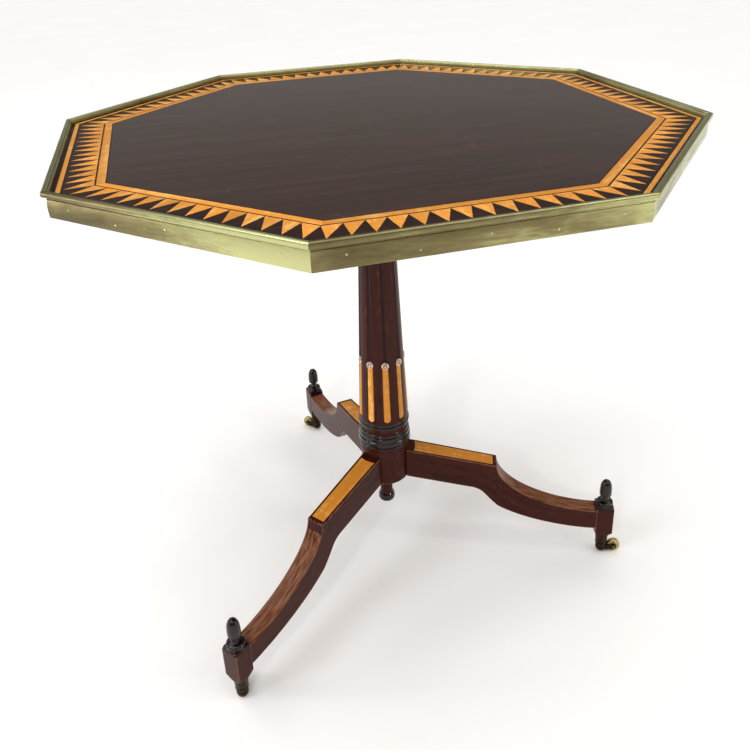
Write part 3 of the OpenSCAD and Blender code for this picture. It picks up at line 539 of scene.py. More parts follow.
def field_polish(name):
    """The dark field: a very dark veneer with faint red streaks under a deep old polish, which carries fine
    hairline scratches, haze and a slow ripple that bends what it mirrors."""
    material, tree, shader = blank(name, IOR=1.5, Coat_Weight=0.7, Coat_Roughness=0.04, Specular_IOR_Level=0.05)
    colours = finishes()
    place = own_place(tree)
    # streaks 10 mm wide and 200 mm long
    streaks = noise(tree, drawn_out(tree, place, (5, 100, 100)), 1.0, 6.0, Distortion=0.5)
    body = ramp(tree, streaks, (0.38, tuple(colours.field)), (0.72, tuple(colours.field_streak)))
    # hairlines: the edges of cells 35 mm across, bent, and kept only where a second noise is high
    bent = add(tree, "ShaderNodeTexNoise", {"Vector": place, "Scale": 9.0, "Detail": 1.0}).outputs["Color"]
    bent = add(tree, "ShaderNodeMix", {0: 0.06, 4: place, 5: bent}, data_type="VECTOR").outputs[1]
    cells = add(
        tree, "ShaderNodeTexVoronoi", {"Vector": bent, "Scale": 28.0}, feature="DISTANCE_TO_EDGE",
    ).outputs["Distance"]
    keep = spread(tree, noise(tree, place, 16.0, 2.0), 0.6, 0.68)
    line = maths(tree, "MULTIPLY", spread(tree, cells, 0.006, 0.0), keep)
    body = blend(tree, maths(tree, "MULTIPLY", line, 0.1), body, colours.bone)
    rough = spread(tree, noise(tree, place, 22.0, 5.0), 0.0, 1.0, 0.14, 0.3)
    bump = bumps(tree, noise(tree, place, 14.0, 1.0), 0.05, MM)
    plug(tree, shader, body, rough, bump, bump)
    return material


def turned_bone(name):
    """Polished bone buttons: warm white with yellow and grey clouding and painted shade in the groove."""
    material, tree, shader = blank(name, IOR=1.54, Coat_Weight=0.5, Coat_Roughness=0.1)
    # clouds about 5 mm across
    cloud = noise(tree, own_place(tree), 210.0, 4.0)
    body = ramp(
        tree, cloud, (0.3, linear("#A88673")), (0.55, tuple(finishes().bone)), (0.75, linear("#F3E6DC")))
    # painted shade in the dish and groove, where the wear attribute is low
    body = blend(tree, spread(tree, attribute(tree, "wear"), 0.42, 0.1), body, linear("#5E4C42"))
    plug(tree, shader, body, spread(tree, cloud, 0.0, 1.0, 0.2, 0.4))
    return material


def forged_iron(name):
    """Blacksmith's iron: dark scale with brown rust freckles and hammer unevenness."""
    material, tree, shader = blank(name, Metallic=0.7)
    # freckles about 3 mm across
    rust = noise(tree, own_place(tree), 320.0, 6.0)
    body = ramp(tree, rust, (0.45, tuple(finishes().iron)), (0.7, linear("#5A3A26")))
    plug(tree, shader, body, spread(tree, rust, 0.0, 1.0, 0.42, 0.75), bumps(tree, rust, 0.3, 0.4 * MM))
    return material


def studio_floor(name):
    """Pale matt paint with the faintest clouding."""
    material, tree, shader = blank(name, Specular_IOR_Level=0.1)
    cloud = noise(tree, own_place(tree), 2.0, 2.0)
    tint = finishes().floor
    body = ramp(tree, cloud, (0.3, [c * 0.98 for c in tint[:3]]), (0.7, tuple(tint)))
    plug(tree, shader, body, spread(tree, cloud, 0.0, 1.0, 0.75, 0.85))
    return material


def finish(name):
    """The table's finishes by name, each made once."""
    made = bpy.data.materials.get(name)
    if made:
        return made
    c = finishes()
    rosewood, mahogany = [c.rosewood_dark, c.rosewood, c.rosewood], [c.rosewood, c.mahogany, c.mahogany]
    rim = (aged_brass, c.brass, c.brass_tarnish, c.brass_dirt)
    wheel = (aged_brass, c.wheel_brass, c.castor_brass, c.brass_dirt)
    # how each is made, and with what
    makers = {
        "satinwood_tiles": (
            polished_wood, [c.satinwood, c.satinwood, c.satinwood_pale], 0.9, 0.5,
            dict(follow="grain", gloss=0.3)),
        "rosewood_along": (polished_wood, rosewood, 1.1, 0.2, dict(follow="grain", worn=c.rosewood_worn_and_highlight)),
        "rosewood_upright": (
            polished_wood, rosewood, 1.1, 0.2, dict(turn=(0, math.pi / 2, 0), worn=c.rosewood_worn_and_highlight)),
        "ebony_veneer": (polished_wood, [c.ebonised, c.field, c.field_streak], 0.9, 0.2, dict(gloss=0.22)),
        "dark_lines": (polished_wood, [c.ebonised, c.ebonised, c.field], 0.9, 0.2, dict(gloss=0.22)),
        "mahogany_along": (polished_wood, mahogany, 1.3, 0.3, dict(follow="grain", gloss=0.45)),
        "plain_mahogany": (
            polished_wood, mahogany, 1.3, 0.2, dict(turn=(0, 0, math.pi / 2), gloss=0.5, coat=0.1)),
        "ebonised_wood": (ebonised_wood, {}),
        "dark_field": (field_polish, {}),
        "rim_brass": (*rim, dict(patch_mm=24, follow="grain")),
        "pin_brass": (*rim, dict(tarnished=0.3, gloss=0.2)),
        "bronzed_brass": (
            aged_brass, c.castor_brass, c.brass_dirt, c.brass_dirt,
            dict(tarnished=0.6, patch_mm=12, gloss=0.32)),
        "lacquered_brass": (*wheel, dict(patch_mm=15, gloss=0.3, worn=False)),
        "rubbed_brass": (*wheel, dict(tarnished=0.4, patch_mm=10, gloss=0.25)),
        "aged_steel": (
            aged_brass, linear("#8F8A80"), linear("#4E463C"), c.brass_dirt,
            dict(patch_mm=6, gloss=0.35, worn=False)),
        "turned_bone": (turned_bone, {}),
        "forged_iron": (forged_iron, {}),
        "studio_floor": (studio_floor, {}),
    }
    make, *values, settings = makers[name]
    return make(name, *values, **settings)


# ---- shapes of the table ----

def low(node):
    return np.array(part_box(node)[0])


def high(node):
    return np.array(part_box(node)[1])


def mid(node):
    """The middle of a node's box."""
    return (low(node) + high(node)) / 2


def tall(node):
    """A node's height in millimetres."""
    return (high(node) - low(node))[2] / MM


def compass(angle):
    """The directions outwards and anticlockwise at an angle in plan."""
    cos, sin = math.cos(angle), math.sin(angle)
    return np.array([cos, sin, 0]), np.array([-sin, cos, 0])


def smooth(rows, steps=5):
    """A profile's points from rows of radius, height and easing, in millimetres."""
    rows = np.asarray(rows, float)
    return eased(rows[:, :2], rows[:, 2], steps) * MM


def turn_up(name, rows, node, body, slot, material, origin=(0, 0, 0), cols=96, steps=5, gap=0.8):
    """A turned piece that stands upright on its origin, with points at most gap millimetres apart."""
    piece = turned_piece(name, [(origin, None)], denser(smooth(rows, steps), gap * MM), cols)
    return finish_piece(piece, body, slot, material, node)


def side_strip(outer, inner):
    """Eight mitred strips of the octagon between two distances from the middle, one outline per side."""
    half = np.tan(HALF_SIDE)
    strip = np.array([
        [outer, -outer * half], [outer, outer * half], [inner, inner * half], [inner, -inner * half]])
    turns = np.arange(SIDES)[:, None] * 2 * HALF_SIDE
    return plan_turn(np.repeat(strip[None], SIDES, 0), turns)


def mitred_lengths(section, rows, seam, reach=0.0):
    """Eight lengths of one closed section of points (a, z), a being the distance from the middle. At s from
    -1 to 1 a point lies s (a tan(pi / 8) - seam / 2) along its side, which mitres both ends. Also returns the
    grain attribute (the distance along the side, the height and a) and each side's tarnish, which also carries
    painted light and shade."""
    s = np.linspace(-1, 1, rows)[:, None]
    a, z = section[None, :, 0], section[None, :, 1]
    along = s * (a * np.tan(HALF_SIDE) - seam / 2)
    a, z = np.broadcast_to(a, along.shape), np.broadcast_to(z, along.shape)
    grids, grains, tones = [], [], []
    for k in range(SIDES):
        grid = np.dstack([plan_turn(np.stack([a, along], -1), k * 2 * HALF_SIDE), z])
        out, _ = compass(k * 2 * HALF_SIDE)
        grids.append(grid - (reach + ripple(grid, reach))[..., None] * out)
        grains.append(np.stack([along + k, z, a], -1))
        # each side's tarnish, with its painted light and shade, runs from its first end to its last
        first, last = SIDE_TARNISH_AND_SHADE[k]
        tones.append(np.broadcast_to((first + last) / 2 + (last - first) / 2 * s, along.shape).copy())
    return grids, {"grain": grains, "tone": tones}


def billet(outline, start, stop, ease, origin=(0, 0, 0), axes=None, rows=2):
    """A closed outline (u, v) carried along w from start to stop, with eased ends: over the last stretch of
    length ease, w = end -+ ease (1 - sin t) while the outline moves in by ease (1 - cos t). rows is how many
    rows lie between the ends, or where they lie."""
    x, y, z = np.eye(3) if axes is None else np.asarray(axes, float)
    run = np.roll(outline, -1, axis=0) - np.roll(outline, 1, axis=0)
    inward = np.stack([-run[:, 1], run[:, 0]], -1) * handedness(outline)
    inward /= np.linalg.norm(inward, axis=1, keepdims=True) + 1e-12
    t = np.linspace(0, np.pi / 2, 4)
    between = np.asarray(rows) if np.ndim(rows) else np.linspace(start, stop, rows + 2)[1:-1]
    w = np.concatenate([start + ease * (1 - np.cos(t)), between,
                        stop - ease * (1 - np.cos(t[::-1]))])
    inset = np.concatenate([ease * (1 - np.sin(t)), np.zeros(len(between)), ease * (1 - np.sin(t[::-1]))])
    plan = outline[None] + inset[:, None, None] * inward[None]
    return np.asarray(origin, float) + plan[..., :1] * x + plan[..., 1:] * y + w[:, None, None] * z


def end_wear(grid, side):
    """Wear for a billet: its outline's wear on every row, and worn where its ends turn."""
    wear = np.repeat(side[None], len(grid), axis=0)
    wear[[1, 2, -3, -2]] = np.maximum(wear[[1, 2, -3, -2]], 0.85)
    return wear


def grain_along(grid, along, across, shift=0.0):
    """The grain attribute of a grid: distances along two directions, and the rest as depth."""
    along, across = np.asarray(along, float), np.asarray(across, float)
    depth = np.cross(along, across)
    return np.stack([grid @ along, grid @ across + shift, grid @ depth], -1)


def foot_places():
    """Each foot's name, its place in plan, its distance out and the direction of its leg."""
    for foot in FEET:
        place = mid("foot_finial_" + foot)[:2]
        reach = float(np.linalg.norm(place))
        yield foot, place, reach, place / reach


# ---- operators ----

class TABLE_OT_stage(bpy.types.Operator):
    """Floor, soft lights and the camera."""
    bl_idname = "table.stage"
    bl_label = "Stage"

    def execute(self, context):
        scene = context.scene
        reach, drop = FLOOR_REACH, FLOOR_DROP
        corners = [(x * reach, y * reach, -drop) for x, y in ((-1, -1), (1, -1), (1, 1), (-1, 1))]
        mesh = bpy.data.meshes.new("studio_floor")
        mesh.from_pydata(corners, [], [[0, 1, 2, 3]])
        floor = bpy.data.objects.new("studio_floor", mesh)
        scene.collection.objects.link(floor)
        mesh.materials.append(finish("studio_floor"))

        # air: white along the horizon, dim above it, and a bright sky overhead
        world = bpy.data.worlds.new("studio_air")
        world.use_nodes = True
        tree = world.node_tree
        tree.nodes.clear()
        direction = add(tree, "ShaderNodeTexCoord").outputs["Generated"]
        height = add(tree, "ShaderNodeSeparateXYZ", {0: direction}).outputs["Z"]
        air = ramp(
            tree, height, (0.03, linear("#F4F4F2")), (0.11, linear("#8A8986")), (0.5, linear("#787775")),
            (0.85, (1, 1, 1)))
        glow = spread(tree, height, 0.6, 0.9, 1, 2.1)
        sky = add(tree, "ShaderNodeBackground", {"Color": air, "Strength": glow})
        add(tree, "ShaderNodeOutputWorld", {"Surface": sky.outputs[0]})
        scene.world = world
        scene.view_settings.view_transform = "Standard"

        # softboxes: name, place, size, power and tint
        lamps = (
            ("window", (-2.9, -0.9, 2.6), 1.4, 34, "#F2F6FF"),
            ("key", (-1.5, -2.2, 2.0), 0.2, 12, "#FFF8EE"),
            ("rim", (1.9, -1.2, 1.6), 0.18, 6, "#FFFDF8"),
            ("back", (-2.6, 3.2, 1.5), 1.4, 12, "#F2F6FF"),
            ("low", (-1.7, 0.1, 0.6), 0.2, 5, "#FFF6EA"),
            ("floor", (1.5, -1.7, 0.75), 0.2, 6, "#FFF2E2"),
        )
        for name, place, width, power, tint in lamps:
            lamp = bpy.data.lights.new(name, "AREA")
            lamp.shape, lamp.size, lamp.energy, lamp.color = "DISK", width, power, linear(tint)[:3]
            lamp_object = bpy.data.objects.new(name, lamp)
            lamp_object.location = place
            aim = np.array(LAMP_AIM) - place
            yaw, tilt = math.atan2(-aim[0], aim[1]), math.acos(-aim[2] / np.linalg.norm(aim))
            lamp_object.rotation_euler = (tilt, 0, yaw)
            lamp_object.visible_camera = False
            scene.collection.objects.link(lamp_object)

        view = bpy.data.cameras.new("view")
        view.sensor_width, view.lens, view.clip_start = SENSOR, LENS, 0.05
        view.shift_x, view.shift_y = SHIFT
        camera = bpy.data.objects.new("view", view)
        camera.location = EYE
        # rolled about its own axis, tilted up from straight down, then turned
        roll, tilt, turn = (
            Matrix.Rotation(math.radians(angle), 3, axis)
            for angle, axis in ((ROLL, "Z"), (90 - PITCH, "X"), (-HEADING, "Z")))
        camera.rotation_euler = (turn @ tilt @ roll).to_euler()
        scene.collection.objects.link(camera)
        scene.camera = camera
        return {"FINISHED"}


class TABLE_OT_marquetry(bpy.types.Operator):
    """Field, bands and teeth of the top."""
    bl_idname = "table.marquetry"
    bl_label = "Marquetry"

    def execute(self, context):
        size = sizes()
        base, face = low("field_veneer")[2], high("field_veneer")[2]
        satin_out, field_edge = high("satin_band")[0], high("field_veneer")[0]
        satin_in = field_edge + size.field_line
        tooth_out = high("sawtooth_dark")[0]
        tooth_in = satin_out + size.base_line
        string_out = high("outer_stringing")[0]
        string_in = tooth_out + size.tip_line
        turns = np.arange(SIDES) * 2 * HALF_SIDE
        along = np.stack([-np.sin(turns), np.cos(turns)], -1)
        outward = np.stack([np.cos(turns), np.sin(turns)], -1)

        bands = (
            ("satin_strips", satin_out, satin_in, 11, "satin_band"),
            ("stringing_strips", string_out, string_in, 12, "outer_stringing"),
        )
        for name, outer, inner, seed, node in bands:
            strips = prisms(name, side_strip(outer, inner), base, face, along, scatter(SIDES, seed))
            finish_piece(strips, "top", "satinwood", "satinwood_tiles", node)

        count = size.teeth
        half = np.tan(HALF_SIDE)
        i = np.arange(count) - (count - 1) / 2
        foot, tip = 2 * tooth_in * half / count, 2 * tooth_out * half / count
        gap = size.tooth_gap
        tooth = np.stack([
            np.stack([np.full(count, tooth_in), i * foot - foot / 2 + gap / 2], -1),
            np.stack([np.full(count, tooth_out - gap), i * tip], -1),
            np.stack([np.full(count, tooth_in), i * foot + foot / 2 - gap / 2], -1),
        ], axis=1)
        outlines = plan_turn(np.repeat(tooth[None], SIDES, 0), turns[:, None, None])
        outlines = outlines.reshape(-1, 3, 2)
        grain = np.repeat(outward, count, axis=0)
        teeth = prisms("saw_teeth", outlines, base, face, grain, scatter(SIDES * count, 13))
        finish_piece(teeth, "top", "satinwood", "satinwood_tiles", "sawtooth_light")

        dress("dark_field", "field_veneer")
        dress("ebony_veneer", "sawtooth_dark")
        dress("dark_lines", "dark_lines")
        dress("plain_mahogany", "top_board")
        return {"FINISHED"}


class TABLE_OT_brass_rim(bpy.types.Operator):
    """Bead, flat band and pins of the brass edge."""
    bl_idname = "table.brass_rim"
    bl_label = "Brass rim"

    def execute(self, context):
        size = sizes()
        edge, crest = high("rim_moulding")[0], high("rim_moulding")[2]
        # the bead's section, outwards and downwards from its outer edge and crest, in millimetres, with easing
        bead = np.array([
            (-8.4, -10.0, 0.1), (-5.6, -10.0, 0.2), (-5.6, -7.4, 0.6), (-3.2, -7.8, 0.8), (0.0, -6.2, 1.6),
            (0.0, 0.0, 3.4), (-5.9, 0.0, 2.6), (-5.9, -2.2, 0.2), (-6.6, -1.5, 0.3), (-8.2, -1.9, 0.5),
            (-8.4, -4.6, 0.2),
        ]) * MM
        section = eased(bead[:, :2] + (edge, crest), bead[:, 2], steps=6, closed=True)
        self.run_round("brass_bead", section, "rim_moulding")

        band_low, band_high = low("edge_band"), high("edge_band")
        middle, half = (band_low[2] + band_high[2]) / 2, (band_high[2] - band_low[2]) / 2
        face = band_high[0]
        swell, thick = 0.8 * MM, 2.2 * MM
        h = np.linspace(-1, 1, 15)
        bowed = np.stack([face - swell * h ** 2, middle + half * h], -1)
        strip = np.vstack([[[face - thick, middle - half]], bowed, [[face - thick, middle + half]]])
        section = eased(strip, 0.35 * MM, steps=4, closed=True)
        self.run_round("brass_band", section, "edge_band", end=0.8)

        per_side = size.pins
        spacing = 2 * edge * np.tan(HALF_SIDE) / per_side
        r = size.pin_width / 2
        dome = eased([(0, -r), (r, -r), (r, 0.05 * MM), (0, 0.3 * MM)], [0, 0, 0.5 * MM, 0])
        places = []
        for k in range(SIDES):
            out, side = compass(k * 2 * HALF_SIDE)
            for i in range(per_side):
                height = middle + (3 if i % 2 == 0 else -3) * MM
                at = out * (face - 0.1 * MM) + side * (i - (per_side - 1) / 2) * spacing + (0, 0, height)
                places.append((at, (side, (0, 0, 1), out)))
        pins = turned_piece("brass_pins", places, dome, cols=14)
        finish_piece(pins, "top", "aged_brass", "pin_brass", "band_pins")
        return {"FINISHED"}

    def run_round(self, name, section, node, end=0.0):
        """A section run round the top in mitred lengths, worn at least as far as end at the mitres."""
        size = sizes()
        grids, marks = mitred_lengths(section, SIDE_ROWS, size.mitre_seam, size.rim_ripple)
        wear = np.repeat(outline_wear(section)[None], SIDE_ROWS, axis=0)
        wear[[0, 1, -2, -1]] = np.maximum(wear[[0, 1, -2, -1]], end)
        piece = tubes(name, grids, {"wear": [wear] * SIDES, **marks}, sharp=50)
        finish_piece(piece, "top", "aged_brass", "rim_brass", node)


class TABLE_OT_bearers(bpy.types.Operator):
    """Bearers under the top, their screws and the catch."""
    bl_idname = "table.bearers"
    bl_label = "Bearers and catch"

    def execute(self, context):
        ease = sizes().edge_ease
        for side, tone in (("left", 0.3), ("right", 0.6)):
            node = "bearer_" + side
            (x0, y0, z0), (x1, y1, z1) = low(node), high(node)
            depth = z1 - z0
            shoulder = z1 - depth / 3
            outline = eased(
                [(y0, z1), (y0, shoulder), (y0 + depth, z0), (y1 - depth, z0), (y1, shoulder), (y1, z1)],
                [0.2 * MM, ease, 4 * ease, 4 * ease, ease, 0.2 * MM], closed=True)
            grid = billet(outline, x0, x1, ease, axes=((0, 1, 0), (0, 0, 1), (1, 0, 0)))
            bearer = tubes("mahogany_" + node, [grid], {
                "grain": [grain_along(grid, (0, 1, 0), (1, 0, 0), shift=x0)],
                "wear": [end_wear(grid, outline_wear(outline))],
                "tone": [np.full(grid.shape[:2], tone)],
            })
            finish_piece(bearer, "top", "mahogany", "mahogany_along", node)

        dress("aged_steel", "bearer_screws")
        dress("lacquered_brass", "catch_plate", "catch_guides", "catch_screws")

        across, reach, _ = (high("catch_bolt") - low("catch_bolt")) / MM
        r = across / 2
        rod = denser(smooth([(0, 0, 0), (r, 0, 1.6), (r, reach, 0.5), (0, reach, 0)]), 2 * MM)
        middle = mid("catch_bolt")
        rod_start = (middle[0], low("catch_bolt")[1], middle[2])
        rod = turned_piece("drawn_bolt", [(rod_start, ((1, 0, 0), (0, 0, -1), (0, 1, 0)))], rod, cols=48)
        finish_piece(rod, "catch", "catch_brass", "rubbed_brass", "catch_bolt")

        height = tall("bolt_knob")
        knob = [(0, 0, 0), (6, 0, 5), (6, 11, 5), (2.4, 12, 0.8), (2.4, 14, 1), (3.4, 15.5, 0.8),
                (2.4, height, 0.2), (0, height, 0)]
        at = (*mid("bolt_knob")[:2], low("bolt_knob")[2])
        turn_up("turned_knob", knob, "bolt_knob", "catch", "catch_brass", "rubbed_brass", at, cols=40, gap=0.6)
        return {"FINISHED"}


class TABLE_OT_block(bpy.types.Operator):
    """Block on the column, pivots and strike plate."""
    bl_idname = "table.block"
    bl_label = "Block and pivots"

    def execute(self, context):
        size = sizes()
        ease = size.edge_ease
        (x0, y0, z0), (x1, y1, z1) = low("column_block"), high("column_block")
        radius = (z1 - z0) / 2
        # the back face is let in for the strike plate, and deeper for the bolt: half width, half height, depth
        step, play = 0.02 * MM, 0.1 * MM
        plate_deep, plate_tall = (high("strike_plate") - low("strike_plate"))[1:]
        bolt_z = mid("catch_bolt")[2]
        hole = tall("catch_bolt") * MM / 2 + size.bolt_spare
        lets = (
            (high("strike_plate")[0] + play, plate_tall / 2 + play, plate_deep + play),
            (hole, hole, size.catch_mortise),
        )
        edges = np.array([[half[axis] - step, half[axis]] for axis in (0, 1) for half in lets]).reshape(2, -1)
        rises = np.sort(np.concatenate([-edges[1], edges[1]])) + bolt_z
        back = [(y1, z) for z in rises]
        corners = [(y0, z0), (y1, z0), *back, (y1, z1), (y0, z1)]
        outline = eased(corners, [ease, ease, *[0] * len(back), ease, radius], steps=9, closed=True)
        stations = np.sort(np.concatenate([-edges[0], edges[0], [x0 / 2, x1 / 2]]))
        grid = billet(outline, x0, x1, ease, axes=((0, 1, 0), (0, 0, 1), (1, 0, 0)), rows=stations)
        on_back = np.abs(grid[..., 1] - y1) < step
        for half_x, half_z, depth in lets:
            within = np.abs(grid[..., ::2] - (0, bolt_z)) < np.array([half_x, half_z]) - step / 2
            grid[..., 1] = np.where(on_back & within.all(axis=-1), y1 - depth, grid[..., 1])
        block = tubes("mahogany_block", [grid], {
            "grain": [grain_along(grid, (1, 0, 0), (0, 1, 0))],
            "wear": [end_wear(grid, outline_wear(outline))],
            "tone": [np.full(grid.shape[:2], 0.4)],
        })
        finish_piece(block, "pedestal", "mahogany", "mahogany_along", "column_block")
        dress("lacquered_brass", "pivot_left", "pivot_right", "strike_plate")
        return {"FINISHED"}


class TABLE_OT_column(bpy.types.Operator):
    """Fluted shaft, its bars and buttons, and the capital."""
    bl_idname = "table.column"
    bl_label = "Column"

    def execute(self, context):
        size = sizes()
        foot_z, top_z = high("base_torus")[2], low("column_capital")[2]
        foot_r, neck_r = high("column_shaft")[0], size.neck_width / 2
        shaft_tall = top_z - foot_z
        step = 2 * np.pi / size.flutes
        turn = math.radians(size.flute_turn)
        cut_r = ((size.flute_width / 2) ** 2 + size.flute_depth ** 2) / (2 * size.flute_depth)
        start = foot_z + size.flute_start

        def radius(z):
            return foot_r + (neck_r - foot_r) * (z - foot_z) / shaft_tall

        def cutter(z):
            """The flute cutter's radius: a half sphere at its foot, then a cone that narrows to the neck."""
            cone = cut_r * (1 - (1 - size.neck_ratio) * (z - start) / shaft_tall)
            sphere = np.sqrt(np.clip(cut_r ** 2 - (start + cut_r - z) ** 2, 0, None))
            return np.where(z < start + cut_r, np.minimum(sphere, cone), cone)

        # heights, close together where the flutes begin
        z = np.unique(np.concatenate([
            np.linspace(foot_z, start, 3), start + cut_r * (1 - np.cos(np.linspace(0, np.pi / 2, 16))),
            np.linspace(start + cut_r, top_z, 80),
        ]))[:, None]
        r, rf = radius(z), cutter(z)
        axis_r = r + cut_r - size.flute_depth
        cosine = np.clip((r ** 2 + axis_r ** 2 - rf ** 2) / (2 * r * axis_r), -1, 1)
        half = np.arccos(cosine)
        inside = np.linspace(-1, 1, 13)[None, :]
        land = np.linspace(0, 1, 6)[None, 1:-1]
        sweep = inside * half
        hollow = axis_r * np.cos(sweep) - np.sqrt(np.clip(rf ** 2 - (axis_r * np.sin(sweep)) ** 2, 0, None))
        hollow = np.where(half > 1e-6, np.minimum(hollow, r), r)
        angles = np.hstack([sweep, half + (step - 2 * half) * land])
        radii = np.hstack([hollow, np.broadcast_to(r, (len(z), land.size))])
        # low wear down each flute's hollow, so that the hollow is painted darker as shade; the arrises get a
        # little more wear
        flute_wear_and_shade = 0.5 - 0.35 * (1 - np.abs(inside)) + 0.12 * (np.abs(inside) > 0.99)
        wear = np.hstack([
            np.where(half > 1e-3, flute_wear_and_shade, 0.5),
            np.broadcast_to(np.full(land.size, 0.5), (len(z), land.size)),
        ])
        around = turn + np.concatenate([angles + k * step for k in range(size.flutes)], axis=1)
        out = np.tile(radii, (1, size.flutes))
        grid = np.dstack([out * np.cos(around), out * np.sin(around), np.broadcast_to(z, out.shape)])
        shaft = tubes("fluted_shaft", [grid], {"wear": [np.tile(wear, (1, size.flutes))]}, sharp=40)
        finish_piece(shaft, "pedestal", "rosewood", "rosewood_upright", "column_shaft")

        # bars: the flute's own hollow below, and above it the same circle swelling out of the shaft
        button_z, bar_start = mid("bar_roundels")[2], start + 1.0 * MM
        play, sunk = 0.6 * MM, 0.05 * MM
        z = np.unique(np.concatenate([
            bar_start + cut_r * (1 - np.cos(np.linspace(0, np.pi / 2, 14))),
            np.linspace(bar_start + cut_r, button_z, 24),
        ]))[:, None]
        r, rf = radius(z), cutter(z - play)
        crown_r = r + size.bar_rise - cut_r
        drop = cut_r - size.flute_depth
        # both circles cross where the bar's edge lies, at radius edge_r and wide of the flute's middle
        edge_r = (crown_r + (r + drop)) / 2
        wide = np.sqrt(np.clip(rf ** 2 - ((r + drop) - edge_r) ** 2, 1e-10, None))
        across = np.linspace(-1, 1, 15)[None, :]
        span = across * wide
        upper = crown_r + np.sqrt(np.clip(rf ** 2 - span ** 2, 0, None))
        under = (r + drop) - np.sqrt(np.clip(rf ** 2 - span ** 2, 0, None)) + sunk
        across_all = np.hstack([span, span[:, ::-1]])
        out_all = np.hstack([upper, under[:, ::-1]])
        shifts = scatter(size.flutes, 21)
        grids, grains, tones, wears = [], [], [], []
        for k in range(size.flutes):
            ahead, beside = (way[:2] for way in compass(turn + k * step))
            plan = out_all[..., None] * ahead + across_all[..., None] * beside
            grid = np.dstack([plan, np.broadcast_to(z, out_all.shape)])
            grids.append(grid)
            grains.append(np.stack([grid[..., 2], across_all + shifts[k], out_all], -1))
            tones.append(np.full(out_all.shape, shifts[k]))
            wears.append(np.full(out_all.shape, 0.5))
        bars = tubes("cable_bars", grids, {"grain": grains, "tone": tones, "wear": wears}, sharp=60)
        finish_piece(bars, "pedestal", "satinwood", "satinwood_tiles", "flute_bars")

        lean = math.atan((foot_r - neck_r) / shaft_tall)
        b = size.button_width / 2
        button = eased(
            [(0, -3.0 * MM), (b, -3.0 * MM), (b, 0.6 * MM), (b * 0.86, 1.4 * MM), (b * 0.68, 0.9 * MM),
             (b * 0.6, -0.5 * MM), (b * 0.46, -0.5 * MM), (b * 0.3, 0.8 * MM), (0, 1.3 * MM)],
            [0, 0, 0.4 * MM, 0.7 * MM, 0.4 * MM, 0.3 * MM, 0.3 * MM, 0.7 * MM, 0])
        places = []
        for k in range(size.flutes):
            flat, side = compass(turn + k * step)
            out = flat * math.cos(lean) + (0, 0, math.sin(lean))
            at = flat * radius(button_z) + (0, 0, button_z)
            places.append((at, (side, np.cross(out, side), out)))
        button = denser(button, 0.5 * MM)
        # the ring stays pale and the dish inside it is painted darker as shade, most of all in its groove
        dish = np.interp(button[:, 0] / b, [0, 0.3, 0.5, 0.62, 0.74], [0.4, 0.3, 0.1, 0.15, 0.6])
        buttons = turned_piece("turned_buttons", places, button, cols=40, wear=dish)
        finish_piece(buttons, "pedestal", "bone", "turned_bone", "bar_roundels")

        cap_r, neck = high("column_capital")[0] / MM, neck_r / MM
        foot, cap_top = top_z / MM, high("column_capital")[2] / MM
        capital = [
            (0, foot, 0), (neck + 1, foot, 0.3), (neck + 4.5, foot + 1, 2.2), (neck + 4.5, foot + 6.5, 2.2),
            (neck + 0.5, foot + 8, 0.6), (neck + 0.5, foot + 13, 8), (cap_r - 5, cap_top - 3, 6),
            (cap_r, cap_top - 2, 0.4), (cap_r, cap_top, 0.4), (0, cap_top, 0)]
        turn_up(
            "turned_capital", capital, "column_capital", "pedestal", "ebonised", "ebonised_wood",
            steps=9, gap=1.2)
        return {"FINISHED"}


